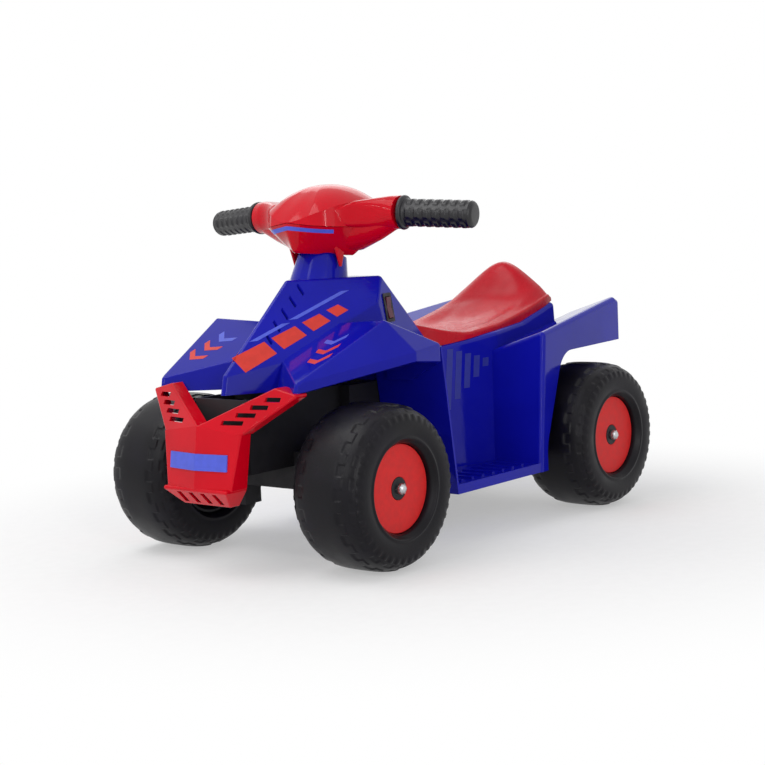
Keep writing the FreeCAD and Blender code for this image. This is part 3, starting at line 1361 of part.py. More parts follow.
def rocker():
    """Shallow-V rocker on a cross pin below the surface."""
    half = ROCKER_LONG / 2
    outline = [(0, half, ROCKER_PROUD), (0, 0, ROCKER_PROUD / 2), (0, -half, ROCKER_PROUD),
               (0, -half, -ROCKER_PROUD), (0, 0, -ROCKER_DEEP + MOVE_GAP), (0, half, -ROCKER_PROUD)]
    points = [vec(p) + FreeCAD.Vector(-ROCKER_WIDE / 2, 0, 0) for p in outline]
    paddle = Part.Face(Part.makePolygon(points + points[:1])).extrude(FreeCAD.Vector(ROCKER_WIDE, 0, 0))
    reach = ROCKER_WIDE / 2 + BEZEL_RIM / 2
    pin = rod(ROCKER_PROUD / 2, (-reach, 0, -ROCKER_PROUD), (reach, 0, -ROCKER_PROUD))
    return placed_on_cowl(fused([paddle, pin]))


# Drive train at the right rear wheel

def gear(teeth, module, centre, y_low, y_high, phase):
    """Toothed wheel about a line along Y: straight-flanked teeth, one of them at the phase angle."""
    pitch_r = teeth * module / 2
    root_r = pitch_r - DEDENDUM_SHARE * module
    tip_r = pitch_r + ADDENDUM_SHARE * module
    step = 2 * math.pi / teeth
    half_root = step * TOOTH_SHARE * (1 - TIP_SHARE / 4)
    half_tip = step * TOOTH_SHARE * TIP_SHARE / 2
    points = []
    for i in range(teeth):
        turn = phase + i * step
        corners = ((root_r, -half_root), (tip_r, -half_tip), (tip_r, half_tip), (root_r, half_root))
        for radius, swing in corners:
            angle = turn + swing
            points.append(FreeCAD.Vector(centre[0] + radius * math.cos(angle), y_low,
                                         centre[1] + radius * math.sin(angle)))
    return Part.Face(Part.makePolygon(points + points[:1])).extrude(FreeCAD.Vector(0, y_high - y_low, 0))


def idler_centre():
    reach = (GEAR_DRIVE_TEETH + GEAR_IDLER_SMALL_TEETH) * MODULE_SLOW / 2
    return REAR_X + reach * math.cos(IDLER_ANGLE), AXLE_Z + reach * math.sin(IDLER_ANGLE)


def pinion_centre():
    reach = (GEAR_IDLER_LARGE_TEETH + GEAR_PINION_TEETH) * MODULE_FAST / 2
    x, z = idler_centre()
    return x + reach * math.cos(PINION_ANGLE), z + reach * math.sin(PINION_ANGLE)


def case_inner_y():
    return -(CASE_OUT_Y - 2 * CASE_WALL - 2 * GEAR_FACE - 3 * GEAR_GAP)


def slow_band():
    """Y limits of the slow gear pair."""
    low = -CASE_OUT_Y + CASE_WALL + GEAR_GAP
    return low, low + GEAR_FACE


def fast_band():
    low = slow_band()[1] + GEAR_GAP
    return low, low + GEAR_FACE


def facing_phase(angle, teeth):
    """Phase that sets a gap towards a mating tooth at the angle."""
    return angle + math.pi + math.pi / teeth


def drive_gear():
    low, high = slow_band()
    wheel = gear(GEAR_DRIVE_TEETH, MODULE_SLOW, (REAR_X, AXLE_Z), low, high, IDLER_ANGLE)
    sleeve = rod(SLEEVE_R, (REAR_X, TYRE_W / 2 - WHEEL_Y, AXLE_Z), (REAR_X, high, AXLE_Z))
    return fused([wheel, sleeve]).cut(
        rod(AXLE_R + RUN_FIT, (REAR_X, -HALF_WIDTH, AXLE_Z), (REAR_X, 0, AXLE_Z)))


def idler_gear():
    x, z = idler_centre()
    slow = gear(GEAR_IDLER_SMALL_TEETH, MODULE_SLOW, (x, z), slow_band()[0], fast_band()[0],
                facing_phase(IDLER_ANGLE, GEAR_IDLER_SMALL_TEETH))
    fast = gear(GEAR_IDLER_LARGE_TEETH, MODULE_FAST, (x, z), fast_band()[0], fast_band()[1], PINION_ANGLE)
    return fused([slow, fast]).cut(rod(IDLER_PIN_R + RUN_FIT, (x, -HALF_WIDTH, z), (x, 0, z)))


def motor_pinion():
    low, high = fast_band()
    wheel = gear(GEAR_PINION_TEETH, MODULE_FAST, pinion_centre(), low, high,
                 facing_phase(PINION_ANGLE, GEAR_PINION_TEETH))
    x, z = pinion_centre()
    return wheel.cut(rod(MOTOR_SHAFT_R + RUN_FIT, (x, low - OVERRUN, z), (x, high + OVERRUN, z)))


def case_outline():
    big = GEAR_DRIVE_TEETH * MODULE_SLOW / 2 + GEAR_GAP
    idler_tip = (GEAR_IDLER_LARGE_TEETH / 2 + 1) * MODULE_FAST
    roof = idler_centre()[1] + idler_tip + GEAR_GAP + CASE_WALL
    return REAR_X - big - CASE_WALL, pinion_centre()[0] + MOTOR_R + CASE_WALL, SILL_Z, roof


def case_prism(inset, y_low, y_high):
    x0, x1, z0, z1 = case_outline()
    left, right, low, high = x0 + inset, x1 - inset, z0 + inset, z1 - inset
    corners = [(left, low), (right, low), (right, high), (left, high)]
    return side_prism(corners, [CASE_EDGE_R - inset] * 4, y_low, y_high)


def gearbox_halves():
    """Outer half round the slow pair, inner half with the idler's pin and the motor's seat."""
    split = (slow_band()[1] + fast_band()[0]) / 2
    out = -CASE_OUT_Y
    inner_y = case_inner_y()
    outer_half = case_prism(0, out, split).cut(case_prism(CASE_WALL, out + CASE_WALL, split + OVERRUN))
    outer_half = outer_half.cut(rod(SLEEVE_R + SIDE_GAP, (REAR_X, out - OVERRUN, AXLE_Z),
                                    (REAR_X, out + OVERRUN, AXLE_Z)))
    room = case_prism(CASE_WALL, split - OVERRUN, inner_y - CASE_WALL)
    inner_half = case_prism(0, split, inner_y).cut(room)
    x, z = idler_centre()
    pin = rod(IDLER_PIN_R, (x, out + CASE_WALL, z), (x, inner_y, z))
    boss = rod(IDLER_PIN_R + CASE_WALL, (x, fast_band()[1] + SIDE_GAP, z), (x, inner_y, z))
    motor_x, motor_z = pinion_centre()
    inner_half = fused([inner_half, pin, boss]).cut([
        rod(AXLE_R + SIDE_GAP, (REAR_X, out, AXLE_Z), (REAR_X, 0, AXLE_Z)),
        rod(MOTOR_R / 3, (motor_x, inner_y - OVERRUN / 2, motor_z), (motor_x, inner_y + OVERRUN, motor_z))])
    return outer_half, inner_half


def motor():
    x, z = pinion_centre()
    start = case_inner_y()
    can = rod(MOTOR_R, (x, start, z), (x, start + MOTOR_L, z))
    rims = [e for e in can.Edges if e.Closed]
    can = can.makeFillet(MOTOR_SHAFT_R, rims)
    shaft = rod(MOTOR_SHAFT_R, (x, fast_band()[0], z), (x, start + MOTOR_R, z))
    return fused([can, shaft])


# Electrics

def battery_box():
    x = REAR_X + BATTERY_AHEAD
    low = (x - BATTERY_L / 2, -BATTERY_W / 2, SILL_Z)
    return low, (x + BATTERY_L / 2, BATTERY_W / 2, SILL_Z + BATTERY_H)


def battery():
    low, high = battery_box()
    block = box(low, high)
    edges = [e for e in block.Edges if e.BoundBox.ZLength > BATTERY_H / 2]
    return block.makeFillet(CLAMP_T, edges)


def battery_clamp():
    """Strap over the battery with a foot on each side."""
    (x0, y0, z0), (x1, y1, z1) = battery_box()
    middle = (x0 + x1) / 2
    low = middle - CLAMP_W / 2
    high = middle + CLAMP_W / 2
    strap = box((low, y0 - CLAMP_T, z0), (high, y1 + CLAMP_T, z1 + CLAMP_T))
    strap = strap.cut(box((x0, y0, z0), (x1, y1, z1)))
    feet = both_sides(box((low, y1, z0), (high, y1 + CLAMP_T + CLAMP_FOOT, z0 + CLAMP_T)))
    return fused([strap] + feet)


def charge_socket():
    tail = REAR_X - PED_REAR_BACK
    barrel = rod(SOCKET_R, (tail, 0, SOCKET_Z), (tail + SOCKET_L, 0, SOCKET_Z))
    flange = rod(SOCKET_FLANGE_R, (tail - SOCKET_FLANGE_T, 0, SOCKET_Z), (tail, 0, SOCKET_Z))
    bore = rod(SOCKET_BORE_R, (tail - OVERRUN, 0, SOCKET_Z), (tail + SOCKET_BORE_L, 0, SOCKET_Z))
    return fused([barrel, flange]).cut(bore)


def wiring_loom():
    """Lead from the battery's rear face along the tray to the motor's end."""
    low, _ = battery_box()
    x, z = pinion_centre()
    end = case_inner_y() + MOTOR_L
    foot = SILL_Z + LOOM_R
    y = end + LOOM_BEND_R + LOOM_R
    points = [(low[0], y, foot), (x, y, foot), (x, y, z), (x, end, z)]
    path = rounded_wire(points, [0, LOOM_BEND_R, LOOM_BEND_R, 0], False)
    circle = Part.Wire(Part.makeCircle(LOOM_R, vec(points[0]), FreeCAD.Vector(1, 0, 0)))
    return path.makePipe(Part.Face(circle))


def rear_axle():
    return rod(AXLE_R, (REAR_X, -AXLE_END, AXLE_Z), (REAR_X, AXLE_END, AXLE_Z))


# Export

def main():
    os.makedirs("parts", exist_ok=True)
    outer = body_outer()
    save("body_shell", [body_shell(outer)])
    save("seat", [seat(outer)])
    save("seat_screws", [screw(foot - way * WALL, way, reach) for foot, way, reach in seat_feet()])
    save("front_bumper", [front_bumper()])
    save("bumper_plate", [bumper_plate()])
    wall_back = FRONT_X + SPINE_AHEAD - SPINE_WALL
    save("bumper_screws", [screw((wall_back, y, BUMPER_BOSS_Z), (1, 0, 0), SCREW_L)
                           for y in (BUMPER_BOSS_Y, -BUMPER_BOSS_Y)])
    save("chassis_tray", [chassis_tray()])
    rib_low = SPINE_TOP_Z - CROSS_RIB
    tray_screws = [screw((x, y, tray_screw_seat()), (0, 0, 1), SCREW_L) for x, y in tray_screw_places()]
    rib_screws = [screw((FRONT_X + POST_AHEAD, y, rib_low), (0, 0, 1), SCREW_L + CROSS_RIB / 2)
                  for y in (POST_Y, -POST_Y)]
    save("body_screws", tray_screws + rib_screws)
    save("kingpins", both_sides(kingpin()))
    save("steering_bush_upper", [bush(CONE_TOP_Z, True)])
    save("steering_bush_lower", [bush(bush_seat_z(), False)])
    save("rear_axle", [rear_axle()])
    save("rear_axle_nuts", both_sides(axle_nut(REAR_X)))
    outer_half, inner_half = gearbox_halves()
    save("gearbox_outer_half", [outer_half])
    save("gearbox_inner_half", [inner_half])
    save("motor", [motor()])
    save("battery", [battery()])
    save("battery_clamp", [battery_clamp()])
    save("charge_socket", [charge_socket()])
    save("wiring_loom", [wiring_loom()])
    save("switch_bezel", [switch_bezel()])
    save("rocker_switch", [rocker()])
    save("steering_shaft", [steering_shaft()])
    save("handlebar_tube", [handlebar_tube()])
    upper, lower = cover_halves()
    save("handlebar_cover_upper", [upper])
    save("handlebar_cover_lower", [lower])
    save("throttle_button", [throttle_button()])
    for side, turn in (("left", lambda shape: shape), ("right", other_side)):
        save(side + "_grip", [turn(grip())])
        save(side + "_knuckle", [turn(knuckle())])
        save(side + "_stub_axle", [turn(stub_axle())])
        save(side + "_axle_nut", [turn(axle_nut(FRONT_X))])
        for end, x in (("front", FRONT_X), ("rear", REAR_X)):
            name = end + "_" + side
            save(name + "_tyre", [turn(tyre(x))])
            save(name + "_wheel_core", [turn(wheel_core(x))])
            save(name + "_wheel_disc", [turn(wheel_disc(x))])
    save("tie_rod", [tie_rod()])
    save("drive_gear", [drive_gear()])
    save("idler_gear", [idler_gear()])
    save("motor_pinion", [motor_pinion()])


main()
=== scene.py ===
"""Finishes and moulded details of a child's electric quad bike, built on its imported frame.

+X points forward, +Y to the rider's left and +Z up, in metres, as in the frame.
"""

import json
import math

import bmesh
import bpy
import numpy as np
from mathutils import Matrix, Vector

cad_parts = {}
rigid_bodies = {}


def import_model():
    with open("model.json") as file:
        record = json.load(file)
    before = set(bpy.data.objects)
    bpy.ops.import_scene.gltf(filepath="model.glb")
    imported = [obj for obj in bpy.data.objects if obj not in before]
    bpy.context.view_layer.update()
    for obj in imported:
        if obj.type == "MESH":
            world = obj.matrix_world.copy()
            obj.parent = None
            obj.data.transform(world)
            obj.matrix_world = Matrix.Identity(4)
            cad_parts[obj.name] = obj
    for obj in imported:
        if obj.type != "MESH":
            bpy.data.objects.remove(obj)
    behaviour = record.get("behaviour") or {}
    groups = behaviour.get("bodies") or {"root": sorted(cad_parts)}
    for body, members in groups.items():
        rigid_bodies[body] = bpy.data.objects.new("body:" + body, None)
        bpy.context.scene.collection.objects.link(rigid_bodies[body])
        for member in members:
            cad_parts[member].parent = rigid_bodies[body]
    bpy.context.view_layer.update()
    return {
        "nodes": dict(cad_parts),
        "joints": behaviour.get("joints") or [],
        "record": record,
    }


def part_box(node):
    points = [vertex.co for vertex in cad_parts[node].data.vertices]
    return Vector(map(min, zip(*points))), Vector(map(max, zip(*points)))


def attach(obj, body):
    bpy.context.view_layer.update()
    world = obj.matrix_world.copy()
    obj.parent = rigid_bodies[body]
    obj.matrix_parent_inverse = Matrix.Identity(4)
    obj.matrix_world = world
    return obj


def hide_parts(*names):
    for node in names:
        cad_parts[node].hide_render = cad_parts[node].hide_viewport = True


bl_info = {
    "name": "Child's quad bike",
    "version": (1, 0, 0),
    "blender": (4, 5, 0),
    "location": "3D View > Sidebar > Quad bike",
    "description": "Adds tyres, grips, covers, stickers and finishes to the quad bike's frame",
    "category": "Object",
}

for leftover in list(bpy.data.objects):
    bpy.data.objects.remove(leftover)
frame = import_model()

CORNERS = ("front_left", "front_right", "rear_left", "rear_right")
SIDES = {"left": 1, "right": -1}
WHITE = (1.0, 1.0, 1.0, 1.0)


# Settings that a user would change

def colour(name, text, red, green, blue):
    """A colour setting, given by its 0 to 255 screen values and kept as linear light by the sRGB curve."""
    share = np.array([red, green, blue]) / 255
    linear = np.where(share <= 0.04045, share / 12.92, ((share + 0.055) / 1.055) ** 2.4)
    return bpy.props.FloatVectorProperty(
        name=name, description=text, subtype="COLOR", size=3, min=0, max=1, default=linear.tolist())


def length(name, text, value):
    """A length setting, in metres."""
    return bpy.props.FloatProperty(name=name, description=text, unit="LENGTH", precision=4, default=value)


def whole_number(name, text, value, least):
    """A setting that counts things."""
    return bpy.props.IntProperty(name=name, description=text, min=least, default=value)


def lamp_power(name, text, value):
    """A lamp's power setting, in watts."""
    return bpy.props.FloatProperty(name=name, description=text, unit="POWER", default=value)


class QuadColours(bpy.types.PropertyGroup):
    """Colours of the mouldings, the rubber and the stickers."""

    body: colour("Body", "Gloss of the body moulding", 16, 20, 164)
    trim: colour("Trim", "Gloss of the bumper and the handlebar cover", 206, 2, 28)
    seat: colour("Seat", "Satin of the seat", 196, 8, 32)
    disc: colour("Wheel discs", "Flat trim discs", 216, 38, 38)
    lilac: colour("Lilac", "Plate, stripe and thin stickers", 84, 98, 214)
    # Lilac darkened with painted shade, for the bars on the shaded side panel beside the rider's legs
    shaded_lilac: colour("Shaded lilac", "Muted bars beside the rider's legs", 50, 56, 150)
    flash: colour("Flash", "Warm red of the body's stickers", 214, 62, 52)
    black: colour("Black plastic", "Chassis, wheel cores and loom", 30, 29, 33)
    rubber: colour("Rubber", "Tyres and grips", 13, 11, 18)
    steel: colour("Steel", "Axles, nuts and screws", 200, 201, 204)
    nylon: colour("Nylon", "Gears and bushes", 226, 221, 208)
    switch: colour("Switch", "Direction rocker", 92, 22, 52)


class QuadSizes(bpy.types.PropertyGroup):
    """Sizes of the details that are added to the frame."""

    tread_depth: length("Tread depth", "Height of the tread blocks", 0.0028)
    tread_teeth: whole_number("Tread teeth", "Teeth round one tyre", 22, least=8)
    grip_rib: length("Grip rib", "Height of the grip's ribs", 0.0012)
    grip_ribs: whole_number("Grip ribs", "Ribs along one grip", 7, least=3)
    sticker_lift: length("Sticker lift", "Height of a sticker's face over its panel", 0.0002)
    cover_seam: length("Cover seam", "Gap between the halves of the handlebar cover", 0.0006)


class QuadStage(bpy.types.PropertyGroup):
    """Camera and lamps."""

    eye: bpy.props.FloatVectorProperty(
        name="Eye", description="Camera's place", unit="LENGTH", size=3, default=(1.6745, 1.386, 0.423))
    look: bpy.props.FloatVectorProperty(
        name="Look", description="Camera's direction", subtype="XYZ", size=3,
        default=(-0.764, -0.636, -0.107))
    roll: bpy.props.FloatProperty(
        name="Roll", description="Camera's turn about its line of sight", subtype="ANGLE",
        default=math.radians(-2.58))
    lens: bpy.props.FloatProperty(
        name="Lens", description="Focal length in millimetres", unit="CAMERA", default=78.6)
    key: lamp_power("Key", "Large lamp over the front", 18)
    fill: lamp_power("Fill", "Lamp on the camera's side", 6)
    rim: lamp_power("Rim", "Lamp behind the far side", 6)
    strip: lamp_power("Strips", "Two narrow lamps", 7)
    sky: bpy.props.FloatProperty(name="Sky", description="Strength of the even light", default=0.5)


# Node trees written as expressions

class Line:
    """One output socket of a node tree; arithmetic on it adds Math nodes."""

    def __init__(self, nodes, socket):
        self.nodes = nodes
        self.socket = socket

    def apply(self, operation, *values):
        return self.nodes.node("ShaderNodeMath", {"operation": operation}, dict(enumerate(values)))

    def __add__(self, other):
        return self.apply("ADD", self, other)

    __radd__ = __add__

    def __sub__(self, other):
        return self.apply("SUBTRACT", self, other)

    def __rsub__(self, other):
        return self.apply("SUBTRACT", other, self)

    def __mul__(self, other):
        return self.apply("MULTIPLY", self, other)

    __rmul__ = __mul__

    def __abs__(self):
        return self.apply("ABSOLUTE", self)

    def most(self, other):
        return self.apply("MAXIMUM", self, other)

    def sine(self):
        return self.apply("SINE", self)

    def root(self):
        return self.apply("SQRT", self)

    def ramp(self, low, high):
        """0 up to low, 1 from high, smooth between; falling where low is above high."""
        return self.nodes.node(
            "ShaderNodeMapRange", {"interpolation_type": "SMOOTHSTEP"},
            {"Value": self, "From Min": low, "From Max": high, "To Min": 0.0, "To Max": 1.0})

    def within(self, start, full, fade, end):
        """1 from full to fade, 0 before start and past end, smooth between."""
        return self.ramp(start, full) * (1 - self.ramp(fade, end))


class Nodes:
    """A node tree, in which one method adds every node."""

    def __init__(self, tree):
        self.tree = tree

    def node(self, kind, settings, inputs, *outputs):
        """Adds a node: settings, then values or lines by socket; gives the outputs named, or the first."""
        made = self.tree.nodes.new(kind)
        for key, value in settings.items():
            setattr(made, key, value)
        for key, value in inputs.items():
            if isinstance(value, Line):
                self.tree.links.new(value.socket, made.inputs[key])
            else:
                made.inputs[key].default_value = value
        lines = [Line(self, made.outputs[key]) for key in outputs or (0,)]
        return lines if outputs[1:] else lines[0]

    def seen(self):
        """1 for what the camera sees directly, in gloss or through glass."""
        camera, gloss, glass = self.node(
            "ShaderNodeLightPath", {}, {}, "Is Camera Ray", "Is Glossy Ray", "Is Transmission Ray")
        return camera.most(gloss).most(glass)

    def show(self, output, share, first, second):
        """Sends a mix of two shaders by a share to the tree's output node."""
        both = self.node("ShaderNodeMixShader", {}, {0: share, 1: first, 2: second})
        self.tree.links.new(both.socket, self.tree.nodes[output].inputs["Surface"])


# Most values of a noise lie between these two
SPREAD = (0.3, 0.7)


class Finish(Nodes):
    """A procedural material: Principled shader plus the nodes that drive it."""

    def __init__(self, name, **constants):
        self.material = bpy.data.materials.new(name)
        self.material.use_nodes = True
        super().__init__(self.material.node_tree)
        self.shader = self.tree.nodes["Principled BSDF"]
        for key, value in constants.items():
            self.shader.inputs[key.replace("_", " ")].default_value = value

    def place(self):
        """Object coordinates, which are the frame's own."""
        return self.node("ShaderNodeTexCoord", {}, {}, "Object")

    def axes(self):
        """The three object coordinates as numbers."""
        return self.node("ShaderNodeSeparateXYZ", {}, {0: self.place()}, 0, 1, 2)

    def noise(self, scale, detail, stretch=(1, 1, 1)):
        """Clouds of a scale to the metre; a stretch above 1 packs them closer along its axis."""
        spot = self.node("ShaderNodeMapping", {}, {"Vector": self.place(), "Scale": stretch})
        return self.node("ShaderNodeTexNoise", {}, {"Vector": spot, "Scale": scale, "Detail": detail})

    def cells(self, scale):
        """Distance to the nearest of many scattered points, of a scale to the metre."""
        return self.node("ShaderNodeTexVoronoi", {}, {"Vector": self.place(), "Scale": scale}, "Distance")

    def mix(self, share, first, second):
        """Colour between two colours by a share."""
        return self.node("ShaderNodeMix", {"data_type": "RGBA"}, {0: share, 6: first, 7: second}, 2)

    def drive(self, name, line):
        """Feeds one of the shader's sockets."""
        self.tree.links.new(line.socket, self.shader.inputs[name])

    def tint(self, pattern, tone, shades, span=SPREAD):
        """Base colour between two shades of a tone, by a pattern's rise over a span."""
        self.drive("Base Color", self.mix(pattern.ramp(*span), *(shade(tone, share) for share in shades)))

    def vary(self, name, pattern, low, rise, span=SPREAD):
        """Drives a socket from low, up by rise, by a pattern's rise over a span."""
        self.drive(name, pattern.ramp(*span) * rise + low)

    def bump(self, height, strength, distance):
        """Relief by a line of heights; gives the finished material."""
        relief = {"Strength": strength, "Distance": distance, "Height": height}
        self.drive("Normal", self.node("ShaderNodeBump", {}, relief))
        return self.material


def shade(tone, share):
    """A colour made darker or lighter by a share, opaque."""
    return tuple(min(1.0, part * share) for part in tone[:3]) + (1.0,)


# Finishes

WIPE_SPAN = (0.35, 0.75)
WIPE_SHARE = 0.7
COAT_SPAN = (0.8, 0.2)
COAT_SHARE = 0.75
PEEL_FINENESS = 6
PEEL_SHARE = 0.2
GRAIN_SHARE = 0.6
SATIN_SWING = 0.07
DUST_SWING = 0.08
DUST_SPAN = (0.4, 0.75)
DULL_SPAN = (0.35, 0.7)
BROKEN_SPAN = (0.46, 0.58)
DRAW_PITCH = 0.0032
DRAW_DEPTH = 3.0
DRAW_ALONG = (0.085, 0.10, 0.16, 0.185)
DRAW_ASIDE = (0.022, 0.030, 0.072, 0.085)
DRAW_RISE = (0.278, 0.290)


def gloss_moulding(name, tone, roughness, coat, grain, marks=None):
    """Polished moulded plastic: faint flow clouds, wipe marks, orange peel, and marks of its own if any."""
    finish = Finish(name, Coat_Roughness=0.04, Specular_IOR_Level=0.13)
    finish.tint(finish.noise(scale=9.0, detail=2.0), tone, shades=(0.9, 1.06))
    wipes = finish.noise(scale=34.0, detail=4.0, stretch=(1, 3, 1))
    finish.vary("Roughness", wipes, roughness * WIPE_SHARE, roughness * WIPE_SHARE, WIPE_SPAN)
    finish.vary("Coat Weight", wipes, coat * COAT_SHARE, coat * (1 - COAT_SHARE), COAT_SPAN)
    relief = finish.noise(grain, detail=2.0) + finish.noise(grain * PEEL_FINENESS, detail=1.0) * PEEL_SHARE
    if marks:
        relief = relief + marks(finish)
    return finish.bump(relief, strength=0.06, distance=0.0006)


def draw_lines(finish):
    """Fine level lines across the upper part of the hood's roof, broken here and there."""
    x, y, z = finish.axes()
    roof = x.within(*DRAW_ALONG) * abs(y).within(*DRAW_ASIDE) * z.ramp(*DRAW_RISE)
    broken = finish.noise(scale=30.0, detail=2.0, stretch=(1, 1, 9)).ramp(*BROKEN_SPAN)
    return (z * (2 * math.pi / DRAW_PITCH)).sine() * (roof * broken * DRAW_DEPTH)


def satin_moulding(name, tone, roughness, shine=0.3):
    """Spark-textured plastic with a fine even grain and slight polish on its high spots."""
    finish = Finish(name, Specular_IOR_Level=shine)
    finish.tint(finish.noise(scale=14.0, detail=3.0), tone, shades=(0.9, 1.08))
    wear = finish.noise(scale=60.0, detail=4.0)
    finish.vary("Roughness", wear, low=roughness - SATIN_SWING, rise=2 * SATIN_SWING)
    grain = finish.cells(scale=1900.0) + finish.noise(scale=700.0, detail=2.0) * GRAIN_SHARE
    return finish.bump(grain, strength=0.12, distance=0.0004)


def rubber(name, tone, roughness, shine):
    """Blown rubber: matt, slightly dusty in the low grain, with small mould pits."""
    finish = Finish(name, Specular_IOR_Level=shine)
    dust = finish.noise(scale=26.0, detail=5.0)
    finish.tint(dust, tone, shades=(0.8, 1.5), span=DUST_SPAN)
    finish.vary("Roughness", dust, low=roughness - DUST_SWING, rise=2 * DUST_SWING)
    pits = finish.cells(scale=900.0) + finish.noise(scale=260.0, detail=3.0)
    return finish.bump(pits, strength=0.2, distance=0.0005)


def metal(name, tone):
    """Turned steel with fine rings of tool marks and a few dull patches."""
    finish = Finish(name, Metallic=1.0)
    marks = finish.noise(scale=420.0, detail=2.0, stretch=(1, 0.05, 1))
    finish.tint(marks, tone, shades=(0.8, 1.0))
    finish.vary("Roughness", finish.noise(scale=90.0, detail=3.0), low=0.22, rise=0.2, span=DULL_SPAN)
    return finish.bump(marks, strength=0.08, distance=0.0003)


def sheet_colour(name, tone, roughness):
    """Printed vinyl: even ink, a faint cast grain and a soft gloss."""
    finish = Finish(name, Specular_IOR_Level=0.25)
    ink = finish.noise(scale=120.0, detail=2.0)
    finish.tint(ink, tone, shades=(0.94, 1.04))
    finish.vary("Roughness", ink, low=roughness, rise=0.08)
    return finish.bump(finish.noise(scale=1400.0, detail=1.0), strength=0.05, distance=0.0002)


# Surfaces

MERGE = 1e-6
CREASE = math.radians(32)
QUARTER_POINTS = 7


def surface(name, points, material, close_u=False, close_v=False, crease=None):
    """Mesh of a grid of points (rows by columns by 3), joined round in either direction.

    Points that fall together, as at a pole, are merged, and the faces are turned outwards.
    """
    rows, columns = points.shape[:2]
    index = np.arange(rows * columns).reshape(rows, columns)
    if close_u:
        index = np.vstack([index, index[:1]])
    if close_v:
        index = np.hstack([index, index[:, :1]])
    quads = np.stack([index[:-1, :-1], index[1:, :-1], index[1:, 1:], index[:-1, 1:]], axis=-1)
    return mesh_object(name, points.reshape(-1, 3).tolist(), quads.reshape(-1, 4).tolist(), material, crease)


def mesh_object(name, points, faces, material, crease=None):
    """Object at the origin from points and faces, merged, smooth, sharp past the crease angle."""
    mesh = bpy.data.meshes.new(name)
    mesh.from_pydata(points, [], faces)
    work = bmesh.new()
    work.from_mesh(mesh)
    bmesh.ops.remove_doubles(work, verts=work.verts, dist=MERGE)
    bmesh.ops.dissolve_degenerate(work, edges=work.edges, dist=MERGE)
    bmesh.ops.recalc_face_normals(work, faces=work.faces)
    if work.calc_volume(signed=True) < 0:
        bmesh.ops.reverse_faces(work, faces=work.faces)
    work.to_mesh(mesh)
    work.free()
    mesh.polygons.foreach_set("use_smooth", np.ones(len(mesh.polygons), bool))
    if crease:
        mesh.set_sharp_from_angle(angle=crease)
    mesh.materials.append(material)
    made = bpy.data.objects.new(name, mesh)
    bpy.context.scene.collection.objects.link(made)
    return made


def mount(piece, body, slot, *nodes):
    """Puts a piece on its body in the place of the nodes named, which are hidden; the slot is not used."""
    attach(piece, body)
    if nodes:
        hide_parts(*nodes)


def full_turn(count):
    """Even directions round a circle."""
    return np.linspace(0, 2 * np.pi, count, endpoint=False)


def turned(profile, angles, centre, axis, across, swell=0):
    """Profile of (along, radius) carried round an axis; swell adds to the radius on the grid."""
    along, radius = np.asarray(profile, float).T
    radii = np.repeat(radius[None, :], len(angles), axis=0) + swell
    axis = np.asarray(axis, float)
    first = np.asarray(across, float)
    second = np.cross(axis, first)
    ring = np.cos(angles)[:, None] * first + np.sin(angles)[:, None] * second
    return np.asarray(centre, float) + along[None, :, None] * axis + radii[:, :, None] * ring[:, None, :]


def tube(x, y, z):
    """Run of closed sections from coordinates on a grid, with a pole at each end."""
    return capped(np.stack(np.broadcast_arrays(x, y, z), -1))


def capped(rows):
    """Adds a pole at each end of a run of closed sections."""
    ends = [np.repeat(row.mean(0)[None, None, :], rows.shape[1], 1) for row in (rows[0], rows[-1])]
    return np.concatenate([ends[0], rows, ends[1]])


def smooth(low, high, value):
    """0 up to low, 1 from high, smooth between; falling where low is above high."""
    share = np.clip((np.asarray(value, float) - low) / (high - low), 0, 1)
    return share * share * (3 - 2 * share)


def squared(value, power):
    """A sine or cosine raised to a power with its sign kept, which squares off an oval."""
    return np.sign(value) * np.abs(value) ** power


# Tyres

AXLE = (0, 1, 0)
AHEAD = (1, 0, 0)
TYRE_BEAD_R = 0.0522
TYRE_BEAD_W = 0.0405
TYRE_SIDE_R = 0.072
TYRE_WALL = 0.0045
TYRE_SQUARE = 0.62
TYRE_CROWN_POINTS = 41
TYRE_SIDE_POINTS = 26
TYRE_SIDE_SHARE = 0.999
TYRE_SIDE_PLACE = 2.0
TYRE_INNER_SHARES = (0.8, 0.93)
RIM_RING_R = 0.0585
RIM_RING_H = 0.0022
RIM_RING_W = 0.0024
TREAD_SPLIT_SHARES = (0.20, 0.33, 0.50, 0.62, 0.70, 0.90)
TREAD_HEIGHT_SHARES = (0.45, 0.35, 0.5, 0.2)
TREAD_EDGE_SHARE = 0.014
TREAD_TURN_SHARE = 0.035
TREAD_FADE_SHARE = 0.1


